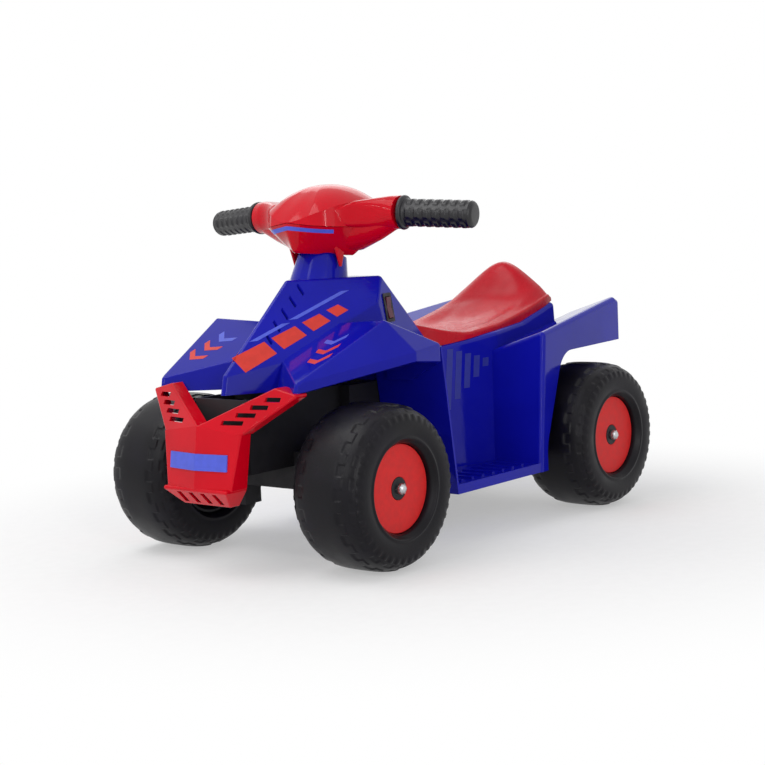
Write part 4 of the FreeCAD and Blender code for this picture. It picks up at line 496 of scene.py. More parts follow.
def tyre_section(half_width, radius):
    """Half widths and radii of the tyre's outer line, bead to bead, and its place across the tread.

    A flattened oval above the side's widest ring, a quarter oval, all but its end, down to each bead,
    and a rounded ring moulded next to the wheel disc. Places past 1 are on the side walls.
    """
    edges = np.concatenate([TREAD_SPLIT_SHARES, np.negative(TREAD_SPLIT_SHARES)])
    near = [edges - TREAD_EDGE_SHARE, edges + TREAD_EDGE_SHARE, np.linspace(-1, 1, TYRE_CROWN_POINTS)]
    place = np.unique(np.round(np.concatenate(near), 4))
    turn = place * np.pi / 2
    width = half_width * squared(np.sin(turn), TYRE_SQUARE)
    height = TYRE_SIDE_R + (radius - TYRE_SIDE_R) * squared(np.cos(turn), TYRE_SQUARE)
    down = np.linspace(0, 1, TYRE_SIDE_POINTS)[1:]
    side_r = TYRE_SIDE_R - (TYRE_SIDE_R - TYRE_BEAD_R) * down
    side_w = half_width - (half_width - TYRE_BEAD_W) * (1 - np.sqrt(1 - down ** 2 * TYRE_SIDE_SHARE))
    side_w = side_w + RIM_RING_H * np.exp(-((side_r - RIM_RING_R) / RIM_RING_W) ** 2)
    beside = np.full(len(down), TYRE_SIDE_PLACE)
    widths = np.concatenate([-side_w[::-1], width, side_w])
    radii = np.concatenate([side_r[::-1], height, side_r])
    return widths, radii, np.concatenate([-beside, place, beside])


def teeth_wave(turns):
    """1 over the first half of every tooth and 0 over the second, with short slopes between."""
    inside = 0.25 - np.abs((turns + 0.25) % 1 - 0.5)
    return smooth(-TREAD_TURN_SHARE, TREAD_TURN_SHARE, inside)


def tread_relief(angles, places, teeth):
    """Height shares of the tread: toothed bands in the middle and beside it, and lugs on the shoulders."""
    turns = angles[:, None] * teeth / (2 * np.pi)
    wave, fast = teeth_wave(turns), teeth_wave(2 * turns)
    across = np.abs(places)[None, :]
    mid_in, mid_out, side_in, side_out, lug_in, lug_out = TREAD_SPLIT_SHARES
    mid_height, side_height, lug_height, ground = TREAD_HEIGHT_SHARES

    def within(edge):
        return smooth(edge + TREAD_EDGE_SHARE, edge - TREAD_EDGE_SHARE, across)

    middle = within(mid_out) * wave + within(mid_in) * (1 - wave)
    side = within(side_in) * wave + within(side_out) * (1 - wave)
    lugs = fast * within(lug_out) * (1 - within(lug_in))
    return mid_height * middle + side_height * side + lug_height * lugs + ground


def tread_angles(teeth):
    """Angles at the middle and both ends of every slope of the teeth and the lugs, and between the slopes."""
    slopes = np.array([0, 0.25, 0.5, 0.75])
    shares = [slopes - TREAD_TURN_SHARE, slopes + TREAD_TURN_SHARE, slopes, slopes + 0.125]
    turns = np.arange(teeth)[:, None] + np.sort(np.concatenate(shares) % 1)[None, :]
    return turns.ravel() * 2 * np.pi / teeth


def tyre(corner, material, sizes):
    """Balloon tyre with toothed tread: its section carried round the axle, then back along its inner wall."""
    low, high = (np.array(v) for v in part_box(corner + "_tyre"))
    _, half_width, radius = (high - low) / 2
    widths, radii, places = tyre_section(half_width, radius)
    bead = TYRE_BEAD_W - TYRE_WALL
    side, crown = half_width * TYRE_INNER_SHARES[0], radius * TYRE_INNER_SHARES[1]
    inner_w = [bead, side, 0, -side, -bead]
    inner_r = [TYRE_BEAD_R, TYRE_SIDE_R, crown, TYRE_SIDE_R, TYRE_BEAD_R]
    profile = np.stack([np.append(widths, inner_w), np.append(radii, inner_r)], 1)
    angles = tread_angles(sizes.tread_teeth)
    drop = (tread_relief(angles, places, sizes.tread_teeth) - 1) * sizes.tread_depth
    swell = np.zeros((len(angles), len(profile)))
    swell[:, :len(places)] = drop * smooth(0, TREAD_FADE_SHARE, 1 - np.abs(places))
    grid = turned(profile, angles, (low + high) / 2, AXLE, AHEAD, swell)
    piece = surface(corner + "_tread_tyre", grid, material, close_u=True, close_v=True, crease=CREASE)
    mount(piece, corner + "_wheel", "tyre_black", corner + "_tyre")


# Grips

BAR_X = 0.1005
BAR_Z = 0.411
BAR_R = 0.00805
BAR_BEND_Y = 0.104
GRIP_START_Y = 0.116
GRIP_END_Y = 0.211
GRIP_SWEEP = 0.020
GRIP_DROP = 0.006
GRIP_R = 0.0165
GRIP_FLANGE_R = 0.021
GRIP_FLANGE_T = 0.007
GRIP_NECK = 0.002
GRIP_END_T = 0.006
GRIP_PADS = 6
GRIP_POINTS = 161
GRIP_SIDES = 96
GRIP_RIB_SPAN = (-0.7, 0.5)
GRIP_PAD_SPAN = (-0.95, -0.1)
GRIP_RUN_IN = (0, 0.03)
GRIP_RUN_OUT = (1, 0.95)
GRIP_SINK_SHARE = 0.4


def bar_line(y):
    """The bar's centre line on the left: straight, then swept back and down past its bend."""
    share = np.clip((y - BAR_BEND_Y) / (GRIP_END_Y - GRIP_START_Y), 0, None)
    return BAR_X - GRIP_SWEEP * share, y, BAR_Z - GRIP_DROP * share


def grip(side, material, sizes):
    """Rubber grip: bore, flange, barrel with rows of ribbed pads and a rounded end, turned about the bar."""
    start, end = (np.array(bar_line(y)) * (1, SIDES[side], 1) for y in (GRIP_START_Y, GRIP_END_Y))
    reach = np.linalg.norm(end - start)
    way = (end - start) / reach
    quarter = np.linspace(0, np.pi / 2, QUARTER_POINTS)
    round_r = GRIP_FLANGE_T / 2
    barrel_start, barrel_end = GRIP_FLANGE_T + GRIP_NECK, reach - GRIP_END_T
    barrel = np.linspace(barrel_start, barrel_end, GRIP_POINTS)
    bore = [(barrel_end, 0), (barrel_end, BAR_R), (0, BAR_R)]
    flange = np.stack([1 - np.cos(2 * quarter), np.sin(2 * quarter) - 1], 1) * round_r + (0, GRIP_FLANGE_R)
    nose = np.stack([np.sin(quarter), np.cos(quarter) - 1], 1)[1:] * GRIP_END_T + (barrel_end, GRIP_R)
    hold = np.stack([barrel, np.full_like(barrel, GRIP_R)], 1)
    profile = np.concatenate([bore, flange, hold, nose, [(reach, 0)]])
    angles = full_turn(GRIP_SIDES)
    share = (barrel - barrel_start) / (barrel_end - barrel_start)
    rib = smooth(*GRIP_RIB_SPAN, -np.cos(share * 2 * np.pi * sizes.grip_ribs))
    rib = rib * smooth(*GRIP_RUN_IN, share) * smooth(*GRIP_RUN_OUT, share)
    pad = smooth(*GRIP_PAD_SPAN, np.cos(angles * GRIP_PADS))
    swell = np.zeros((len(angles), len(profile)))
    first = len(bore) + len(flange)
    swell[:, first:first + len(barrel)] = sizes.grip_rib * (pad[:, None] * rib[None, :] - GRIP_SINK_SHARE)
    across = np.cross(way, (0, 0, 1))
    across /= np.linalg.norm(across)
    grid = turned(profile, angles, start, way, across, swell)
    piece = surface(side + "_ribbed_grip", grid, material, close_u=True, crease=CREASE)
    mount(piece, "handlebar", "grip_black", side + "_grip")


# Handlebar cover, in places measured from the middle of the bar

COVER_FRONT = 0.079
COVER_BACK = 0.066
COVER_SIDE = 0.066
COVER_POWER = 2.25
COVER_CREASE = math.radians(20)
BEARING_COUNT = 160
BEARING_CROWD = 0.35
PROW_TURN = math.radians(13)
PROW_SHARP = 40
DOME_TOP = 0.0377
DOME_POWER = 2.1
DOME_ROWS = 30
BAND_LEAN = 0.12
BAND_ROWS = 7
SEAM_PROW = -0.0075
SEAM_FALL = 0.0085
BROW_PROW = -0.0070
BROW_RISE = 0.0225
BROW_POWER = 1.5
FOOT_CORNERS = ((0.071, 0), (0.006, 0.047), (-0.044, 0.038))
FOOT_SHARP = 16
FOOT_ROUND = 0.06
KEEL_PLACES = (-0.044, 0.006, 0.071)
KEEL_HEIGHTS = (-0.027, -0.051, -0.044)
KEEL_ROWS = 14
BOWL_POWER = 0.85
BOWL_ROWS = 15
SLEEVE_ROOT_Y = 0.045
SLEEVE_ROOT_R = 0.0155
SLEEVE_END_Y = 0.1155
SLEEVE_END_R = 0.0202
SLEEVE_OUT_SHARE = 0.75
SLEEVE_FLARE_Y = 0.106
SLEEVE_FLARES = (0.042, 0.032)
SLEEVE_SINK = 0.0008
SLEEVE_SQUARE = 4
SLEEVE_GRID = (40, 80)
WEB_PLACES = (0.034, 0.047, 0.080, 0.1125)
WEB_DEPTHS = (0.045, 0.0455, 0.0335, 0.0185)
WEB_HALF_WIDTHS = (0.040, 0.034, 0.021, 0.012)
WEB_TOP = -0.004
WEB_SQUARE = 0.8
WEB_GRID = (30, 33)
TONGUE_X = 0.024
TONGUE_Y = 0.037
TONGUE_TOP = -0.038
TONGUE_LOW = -0.0634
TONGUE_LENGTH = 0.020
TONGUE_WIDTH = 0.006
TONGUE_TAPERS = (0.85, 0.5)
TONGUE_SQUARE = 0.6
TONGUE_GRID = (12, 24)
MOUTH_R = 0.0335
MOUTH_LOW_Z = 0.33
MOUTH_TOP_Z = 0.377
BUTTON_HOLE_R = 0.0083
BUTTON_Y = 0.088
DRILL_SIDES = 64
STRIPE_TURN = math.radians(46)
STRIPE_FALLS = (0.10, 0.25)
STRIPE_GRID = (65, 6)
STICKER_SINK = 0.00015


def bearings():
    """Directions round the cover, closer together at the prow, which is the first of them."""
    turn = full_turn(BEARING_COUNT)
    return turn - BEARING_CROWD * np.sin(turn)


def soft_wall(turn, walls, power):
    """Reach to a ring of flat walls, each a (direction, distance), rounded where they meet."""
    closeness = sum(np.maximum(np.cos(turn - way) / away, 1) ** power for way, away in walls)
    return closeness ** (-1 / power)


def seam_plan(turn):
    """Reach of the cover at its seam: a squared oval, cut by two flats that meet in the prow."""
    along = np.where(np.cos(turn) > 0, COVER_FRONT, COVER_BACK)
    oval = ((np.abs(np.cos(turn)) / along) ** COVER_POWER
            + (np.abs(np.sin(turn)) / COVER_SIDE) ** COVER_POWER) ** (-1 / COVER_POWER)
    flats = [(way, COVER_FRONT * math.cos(PROW_TURN)) for way in (PROW_TURN, -PROW_TURN)]
    return np.minimum(oval, soft_wall(turn, flats, PROW_SHARP))


def foot_plan(turn):
    """Reach of the bowl's foot: a kite of flat walls with its point under the prow."""
    left = [np.array(corner) for corner in FOOT_CORNERS]
    ring = left + [corner * (1, -1) for corner in left[:0:-1]]
    walls = []
    for first, second in zip(ring, ring[1:] + ring[:1]):
        edge = second - first
        normal = np.array([edge[1], -edge[0]]) / np.linalg.norm(edge)
        walls.append((math.atan2(normal[1], normal[0]), float(normal @ first)))
    return soft_wall(turn, walls, FOOT_SHARP)


def seam_height(y):
    """The seam starts at the prow and falls outwards to the underside of the sleeves."""
    return SEAM_PROW - SEAM_FALL * np.minimum(np.abs(y) / COVER_SIDE, 1)


def brow_height(y):
    """The brow starts at the prow and climbs outwards to the top of the sleeves."""
    return BROW_PROW + BROW_RISE * np.minimum(np.abs(y) / COVER_SIDE, 1) ** BROW_POWER


def from_bar(turn, reach, height):
    """Points by direction and reach about the middle of the bar, and height over it."""
    reach, height, turn = np.broadcast_arrays(reach, height, turn)
    return np.stack([BAR_X + reach * np.cos(turn), reach * np.sin(turn), BAR_Z + height], -1)


def band(turn, climb, gap):
    """Reach and height on the upright band from a gap over the seam to the brow, leaning in as it climbs."""
    plan = seam_plan(turn)
    low, high = seam_height(plan * np.sin(turn)) + gap, brow_height(plan * np.sin(turn))
    rise = (high - low) * climb
    return plan - BAND_LEAN * rise, low + rise


def dome_grid(seam):
    """Flat underside, upright band, then a shallow dome over the brow, round all the bearings."""
    turn = bearings()[:, None]
    reach, height = band(turn, np.linspace(0, 1, BAND_ROWS)[None, :], seam / 2)
    share = np.sin(np.linspace(np.pi / 2, 0, DOME_ROWS))[None, 1:]
    cap = height[:, -1:] + (DOME_TOP - height[:, -1:]) * (1 - share ** DOME_POWER)
    under = from_bar(turn, 0 * turn, SEAM_PROW - SEAM_FALL / 2)
    dome = from_bar(turn, reach[:, -1:] * share, cap)
    return np.concatenate([under, from_bar(turn, reach, height), dome], 1)


def bowl_side(turn, fall, seam):
    """Reach and height on the bowl's side, ruled from the seam down to the foot by a share of the fall."""
    plan, foot = seam_plan(turn), foot_plan(turn)
    top = seam_height(plan * np.sin(turn)) - seam / 2
    low = np.interp(foot * np.cos(turn), KEEL_PLACES, KEEL_HEIGHTS)
    reach = plan + (foot - plan) * (1 - (1 - fall) ** BOWL_POWER)
    return reach, top + (low - top) * fall * (1 - FOOT_ROUND)


def bowl_grid(seam):
    """Flat top at the seam, sides ruled down to the kite-shaped foot, and the keeled underside."""
    turn = bearings()[:, None]
    foot = foot_plan(turn)
    reach, height = bowl_side(turn, np.linspace(0, 1, BOWL_ROWS)[None, :], seam)
    share = np.linspace(1 - FOOT_ROUND, 0, KEEL_ROWS)[None, :]
    keel = np.interp(foot * share * np.cos(turn), KEEL_PLACES, KEEL_HEIGHTS)
    over = from_bar(turn, 0 * turn, SEAM_PROW - SEAM_FALL / 2 - seam / 2)
    return np.concatenate([over, from_bar(turn, reach, height), from_bar(turn, foot * share, keel)], 1)


def sleeve_grid(sign):
    """Sleeve along the bar: between brow and seam at its flared root, and round at the grip's flange.

    Its section is a squared oval whose power falls to that of a circle on the way out.
    """
    rows, columns = SLEEVE_GRID
    y = np.linspace(SLEEVE_ROOT_Y, SLEEVE_END_Y, rows)[:, None]
    line_x, _, line_z = bar_line(y)
    out = smooth(COVER_SIDE * SLEEVE_OUT_SHARE, SLEEVE_END_Y, y)
    top = brow_height(y) + (SLEEVE_END_R - brow_height(COVER_SIDE)) * out
    low = SLEEVE_SINK - seam_height(y) + (SLEEVE_END_R + seam_height(COVER_SIDE) - SLEEVE_SINK) * out
    radius = np.interp(y, (SLEEVE_ROOT_Y, SLEEVE_END_Y), (SLEEVE_ROOT_R, SLEEVE_END_R))
    flare = np.clip((SLEEVE_FLARE_Y - y) / (SLEEVE_FLARE_Y - SLEEVE_ROOT_Y), 0, 1) ** 2
    turn = full_turn(columns)[None, :]
    power = 2 / (2 + SLEEVE_SQUARE * (1 - out))
    across, up = squared(np.cos(turn), power), squared(np.sin(turn), power)
    x = line_x + (radius + np.where(across > 0, *SLEEVE_FLARES) * flare) * across
    z = line_z + np.where(up > 0, top, low) * up
    return tube(x, sign * y, z)


def web_grid(sign):
    """Web under the sleeve, a rounded keel that shallows from the bowl to the sleeve's end."""
    rows, columns = WEB_GRID
    y = np.linspace(WEB_PLACES[0], WEB_PLACES[-1], rows)[:, None]
    line_x, _, line_z = bar_line(y)
    half = np.interp(y, WEB_PLACES, WEB_HALF_WIDTHS)
    depth = np.interp(y, WEB_PLACES, WEB_DEPTHS)
    turn = np.linspace(0, np.pi, columns)[None, :]
    x = line_x + half * squared(np.cos(turn), WEB_SQUARE)
    z = line_z + WEB_TOP - (depth + WEB_TOP) * squared(np.sin(turn), WEB_SQUARE)
    return tube(x, sign * y, z)


def tongue_grid(sign):
    """Short tongue below the bowl, a squared oval that tapers to a blunt point."""
    rows, columns = TONGUE_GRID
    share = np.linspace(0, 1, rows)[:, None]
    turn = full_turn(columns)[None, :]
    half_length, half_width = (
        size / 2 * (1 - taper * share) for size, taper in zip((TONGUE_LENGTH, TONGUE_WIDTH), TONGUE_TAPERS))
    x = BAR_X + TONGUE_X + half_length * squared(np.cos(turn), TONGUE_SQUARE)
    y = sign * TONGUE_Y + half_width * squared(np.sin(turn), TONGUE_SQUARE)
    z = BAR_Z + TONGUE_TOP + (TONGUE_LOW - TONGUE_TOP) * share
    return tube(x, y, z)


def reshape(piece, changes):
    """Joins other meshes to a piece or takes them out of it, for good, and removes them."""
    for operation, other in changes:
        change = piece.modifiers.new("reshape", "BOOLEAN")
        change.operation = operation
        change.solver = "EXACT"
        change.object = other
    graph = bpy.context.evaluated_depsgraph_get()
    result = bpy.data.meshes.new_from_object(piece.evaluated_get(graph))
    piece.modifiers.clear()
    piece.data = result
    result.set_sharp_from_angle(angle=COVER_CREASE)
    for _, other in changes:
        bpy.data.objects.remove(other)


def drill(name, start, end, radius, material):
    """Closed round bar between two points, used as a cutter."""
    start, end = np.asarray(start, float), np.asarray(end, float)
    reach = np.linalg.norm(end - start)
    way = (end - start) / reach
    across = np.cross(way, (0, 1, 0))
    across /= np.linalg.norm(across)
    profile = [(0, 0), (0, radius), (reach, radius), (reach, 0)]
    return surface(name, turned(profile, full_turn(DRILL_SIDES), start, way, across), material, close_u=True)


def button_drill(material):
    """Cutter from behind the bar for the throttle button."""
    back, front = ((x, -BUTTON_Y, BAR_Z) for x in (BAR_X - COVER_BACK * 2, BAR_X))
    return drill("hole", back, front, BUTTON_HOLE_R, material)


def mouth_drill(material):
    """Cutter along the steering line for the column's head."""
    joint = next(j for j in frame["joints"] if j["name"] == "steering")
    pivot, axis = np.array(joint["pos_m"]), np.array(joint["axis"])
    low, top = (pivot + axis * (z - pivot[2]) / axis[2] for z in (MOUTH_LOW_Z, MOUTH_TOP_Z))
    return drill("mouth", low, top, MOUTH_R, material)


def upper_cover(name, material, seam):
    """Dome with its band and both sleeves in one moulding."""
    piece = surface(name, dome_grid(seam), material, close_u=True)
    grids = [sleeve_grid(sign) for sign in SIDES.values()]
    reshape(piece, [("UNION", surface("sleeve", grid, material, close_v=True)) for grid in grids])
    return piece


def handlebar_cover(material, sizes):
    """Both halves of the cover: the lower half is fitted round the upper one, then both are drilled."""
    upper = upper_cover("handlebar_cover_upper_moulding", material, sizes.cover_seam)
    lower = surface("handlebar_cover_lower_moulding", bowl_grid(sizes.cover_seam), material, close_u=True)
    parts = []
    for sign in SIDES.values():
        parts.append(("UNION", surface("web", web_grid(sign), material, close_v=True)))
        parts.append(("UNION", surface("tongue", tongue_grid(sign), material, close_v=True)))
    parts.append(("DIFFERENCE", upper_cover("cover_room", material, 0)))
    parts.append(("DIFFERENCE", mouth_drill(material)))
    reshape(lower, parts)
    reshape(upper, [("DIFFERENCE", button_drill(material))])
    mount(upper, "handlebar", "trim_red", "handlebar_cover_upper")
    mount(lower, "handlebar", "trim_red", "handlebar_cover_lower")


def cover_stripe(material, sizes):
    """One even stripe round the front of the bowl, just under the seam, as a flat closed tube."""
    columns, rows = STRIPE_GRID
    turn = np.linspace(-STRIPE_TURN, STRIPE_TURN, columns)[:, None]
    reach, height = bowl_side(turn, np.linspace(*STRIPE_FALLS, rows)[None, :], sizes.cover_seam)
    outer, inner = (from_bar(turn, reach + offset, height) for offset in (sizes.sticker_lift, -STICKER_SINK))
    grid = capped(np.concatenate([outer, inner[:, ::-1]], 1))
    mount(surface("cover_stripe", grid, material, close_v=True, crease=CREASE), "handlebar", "plate_lilac")


# Seat

SEAT_FRONT_X = -0.0085
SEAT_LENGTH = 0.270
SEAT_HALF_WIDTH = 0.078
SEAT_RIM_Z = 0.251
SEAT_SHARES = (0, 0.12, 0.27, 0.53, 0.76, 0.91, 0.965, 1)
SEAT_WIDTHS = (0.52, 0.84, 0.96, 0.98, 0.99, 1, 0.99, 0.94)
SEAT_RIMS = (0.0170, 0.0062, 0, 0.0066, 0.0205, 0.0325, 0.0370, 0.0380)
SEAT_CRESTS = (-0.002, -0.0025, -0.003, -0.0025, 0.0085, 0.0425, 0.0485, 0.0400)
SEAT_PEAK = 0.30
SEAT_EDGE_R = 0.004
SEAT_EDGE_FALL = 0.0022
SEAT_EDGE_SPAN = (0.82, 1)
SEAT_FOOT_RISE = SEAT_EDGE_R / 3
SEAT_BED_PLACES = (-0.2785, -0.1975, -0.0256, -0.0085)
SEAT_BED_HEIGHTS = (0.2745, 0.2515, 0.2326, 0.2478)
SEAT_END_SHARE = 0.025
SEAT_EASE_SHARE = 0.045
SEAT_EASE_POINTS = 13
SEAT_GRID = (121, 81)
BUCKET_SHARE = 0.12
BUCKET_SIDE = 0.85
BUCKET_SPAN = (0.95, 0.78)
DISH_DEPTH = 0.0055
DISH_FRONT_SPAN = (0.05, 0.3)
DISH_BACK_SPAN = (0.85, 0.65)
DISH_SIDE_SPAN = (0.9, 0.5)


def eased(share, shares, values):
    """Smooth line through the seat's stations: straight runs between them, averaged over a short reach."""
    reach = np.linspace(-SEAT_EASE_SHARE, SEAT_EASE_SHARE, SEAT_EASE_POINTS)
    return np.mean([np.interp(np.clip(share + r, 0, 1), shares, values) for r in reach], 0)


def seat_top(share, side):
    """Height of the seat's top: its rim, a tent-shaped back with a hollowed face, and a dish before it.

    The back starts to rise later in the middle than at the sides, which hollows its face.
    """
    rim = SEAT_RIM_Z + eased(share, SEAT_SHARES, SEAT_RIMS)
    aside = np.abs(side)
    late = BUCKET_SHARE * (1 - np.minimum(aside / BUCKET_SIDE, 1) ** 2) * smooth(*BUCKET_SPAN, share)
    crest = eased(share - late, SEAT_SHARES, SEAT_CRESTS)
    tent = (math.hypot(1, SEAT_PEAK) - np.hypot(side, SEAT_PEAK)) / (math.hypot(1, SEAT_PEAK) - SEAT_PEAK)
    dish = smooth(*DISH_FRONT_SPAN, share) * smooth(*DISH_BACK_SPAN, share) * smooth(*DISH_SIDE_SPAN, aside)
    ends = SEAT_EDGE_R * smooth(SEAT_END_SHARE, 0, np.minimum(share, 1 - share))
    return rim + crest * tent - DISH_DEPTH * dish - ends - SEAT_EDGE_FALL * smooth(*SEAT_EDGE_SPAN, aside)


def seat_moulding(material):
    """Seat: its top on a grid of stations, a rounded edge, an upright band, and the bed under it."""
    rows, columns = SEAT_GRID
    share = np.sin(np.linspace(0, np.pi / 2, rows))[:, None] ** 2
    side = np.sin(np.linspace(-np.pi / 2, np.pi / 2, columns))[None, :]
    half = SEAT_HALF_WIDTH * eased(share, SEAT_SHARES, SEAT_WIDTHS)
    edge = np.linspace(0, np.pi / 2, QUARTER_POINTS)[None, 1:]
    x = SEAT_FRONT_X - SEAT_LENGTH * share
    bed = np.interp(x, SEAT_BED_PLACES, SEAT_BED_HEIGHTS)
    top_y = (half - SEAT_EDGE_R) * side
    top_z = seat_top(share, side)
    roll_y = half - SEAT_EDGE_R + SEAT_EDGE_R * np.sin(edge)
    roll_z = top_z[:, -1:] - SEAT_EDGE_R * (1 - np.cos(edge))
    band_y = np.concatenate([half, half - SEAT_EDGE_R], 1)
    band_z = np.concatenate([bed + SEAT_FOOT_RISE, bed], 1)
    y = np.concatenate([top_y, roll_y, band_y, -band_y[:, ::-1], -roll_y[:, ::-1]], 1)
    z = np.concatenate([top_z, roll_z, band_z, band_z[:, ::-1], roll_z[:, ::-1]], 1)
    piece = surface("seat_moulding", tube(x, y, z), material, close_v=True, crease=CREASE)
    mount(piece, "frame", "seat_red", "seat")


# Footwell corners

GUSSET_LEVELS = (0.125, 0.214)
GUSSET_ROWS = 12
GUSSET_START_X = 0.073
GUSSET_END_Y = 0.0608
GUSSET_WALL = 0.002
GUSSET_SINK = 0.0004
TUNNEL_SPOT = (0.0764, 0.0586, 0.160)
TUNNEL_TAPER = -0.1575
TUNNEL_LEAN = -0.0875
SHIELD_X = 0.0829
SHIELD_LEAN = 0.131


def footwell_gusset(side, material):
    """Narrow wall in the footwell's corner, ruled at every level from the tunnel's side to the leg shield.

    The tunnel's side tapers along the machine and leans in as it rises, and the shield leans forward.
    """
    z = np.linspace(*GUSSET_LEVELS, GUSSET_ROWS)
    rise = z - TUNNEL_SPOT[2]
    tunnel_y = TUNNEL_SPOT[1] + TUNNEL_TAPER * (GUSSET_START_X - TUNNEL_SPOT[0]) + TUNNEL_LEAN * rise
    start = np.stack([np.full_like(z, GUSSET_START_X), tunnel_y - GUSSET_SINK, z], -1)
    end = np.stack([SHIELD_X + SHIELD_LEAN * rise + GUSSET_SINK, np.full_like(z, GUSSET_END_Y), z], -1)
    inward = np.array([0, GUSSET_WALL, 0])
    grid = np.stack([start, end, end - inward, start - inward], 1) * (1, SIDES[side], 1)
    piece = surface(side + "_footwell_gusset", capped(grid), material, close_v=True, crease=CREASE)
    mount(piece, "frame", "body_blue")


# Stickers

SIDE_AXIS = 1
UP_AXIS = 2
FACET_TURN = 0.97
FACET_NEAR = 0.002
HOOD_SPOT = (0.2301, 0.0128, 0.278)
HOOD_FACING = (0.5, 0.67, 0.55)
FENDER_SPOT = (0.2269, 0.0913, 0.253)
FENDER_FACING = (0.42, -0.1, 0.9)
LEG_SPOT = (-0.067, 0.0777, 0.2004)
LEG_FACING = (0.16, 0.98, 0.09)
DASH_START = np.array([0.280, 0.0065])
DASH_END = np.array([0.132, 0.063])
DASH_RUNS = ((0, 0.27), (0.33, 0.53), (0.59, 0.74), (0.80, 0.90))
DASH_WIDTHS = (0.0145, 0.007)
DASH_SLANT = 0.010
DASH_CORNERS = ((0, -1), (1, -1), (1, 1), (0, 1))
LINE_RUNS = ((0.16, 0.44), (0.50, 0.96))
LINE_WIDTHS = (0.0024, 0.0024)
LINE_ASIDE = -0.0105
CHEVRON_PLACES = ((0.208, 0.092), (0.229, 0.097), (0.250, 0.102))
CHEVRON_WAY = np.array([0.972, 0.233])
CHEVRON_SHAPE = (
    (-0.006, -0.015), (0.004, 0), (-0.006, 0.015), (-0.014, 0.015), (-0.004, 0), (-0.014, -0.015))
FLASH_COUNT = 5
FLASH_FRONT_X = -0.050
FLASH_STEP = 0.0155
FLASH_TOP_Z = 0.230
FLASH_TOP_FALL = 0.0042
FLASH_LOW_Z = 0.152
FLASH_LOW_RISE = 0.0125
FLASH_WIDTH = 0.0105
FLASH_SLANT = 0.2


def facet(node, near, facing):
    """A point and the normal of a node's large flat face that is close to a point and turned a given way."""
    mesh = frame["nodes"][node].data
    count = len(mesh.polygons)
    centres, normals, areas = np.zeros(count * 3), np.zeros(count * 3), np.zeros(count)
    mesh.polygons.foreach_get("center", centres)
    mesh.polygons.foreach_get("normal", normals)
    mesh.polygons.foreach_get("area", areas)
    centres, normals = centres.reshape(-1, 3), normals.reshape(-1, 3)
    off_plane = np.abs(((near - centres) * normals).sum(1))
    turned_so = normals @ facing > FACET_TURN
    best = int(np.argmax(areas * turned_so / (1 + (off_plane / FACET_NEAR) ** 2)))
    return centres[best], normals[best]


class BodyFace:
    """Flat face of the body, on which outlines drawn square to one axis are laid."""

    def __init__(self, near, facing, axis, sign):
        mirror = np.array([1, sign, 1])
        self.spot, self.normal = facet("body_shell", np.array(near) * mirror, np.array(facing) * mirror)
        self.axis = axis
        self.sign = sign

    def put(self, outline, lift):
        """Outline's points moved along the axis on to the face, then raised by the lift."""
        points = np.insert(np.asarray(outline, float), self.axis, 0, axis=1)
        points[:, 1] *= self.sign
        away = (self.spot - points) @ self.normal / self.normal[self.axis]
        points[:, self.axis] += away
        return points + self.normal * lift


def sticker(name, face, outlines, material, lift, slot):
    """Thin vinyl shapes on a face: each outline raised by the lift, with its edges let into the face."""
    points, faces = [], []
    for outline in outlines:
        count, base = len(outline), len(points)
        points += face.put(outline, lift).tolist() + face.put(outline, -STICKER_SINK).tolist()
        ring = np.arange(count)
        following = (ring + 1) % count
        faces += [(base + ring).tolist(), (base + count + ring[::-1]).tolist()]
        faces += (base + np.stack([ring, ring + count, following + count, following], 1)).tolist()
    mount(mesh_object(name, points, faces, material, CREASE), "frame", slot)


def dash_outlines(runs, widths, aside):
    """Slanted dashes beside the hood's lower edge, by runs of its length and its widths at both ends."""
    span = np.linalg.norm(DASH_END - DASH_START)
    way = (DASH_END - DASH_START) / span
    square = np.array([way[1], -way[0]])
    outlines = []
    for run in runs:
        halves = np.interp(run, (0, 1), widths) / 2
        ends = [DASH_START + way * span * share + square * aside for share in run]
        outlines.append([ends[end] + (square * halves[end] + way * DASH_SLANT / 2) * up
                         for end, up in DASH_CORNERS])
    return outlines


def chevron_outlines(places):
    """One chevron at each place, pointing forward and a little outwards."""
    square = np.array([-CHEVRON_WAY[1], CHEVRON_WAY[0]])
    return [[np.array(place) + CHEVRON_WAY * along + square * across for along, across in CHEVRON_SHAPE]
            for place in places]


def flash_outlines():
    """Slanted bars side by side, each shorter than the one before it."""
    outlines = []
    for place in range(FLASH_COUNT):
        x = FLASH_FRONT_X - FLASH_STEP * place
        top, low = FLASH_TOP_Z - FLASH_TOP_FALL * place, FLASH_LOW_Z + FLASH_LOW_RISE * place
        foot = x + FLASH_SLANT * (top - low)
        outlines.append([(foot, low), (foot + FLASH_WIDTH, low), (x + FLASH_WIDTH, top), (x, top)])
    return outlines


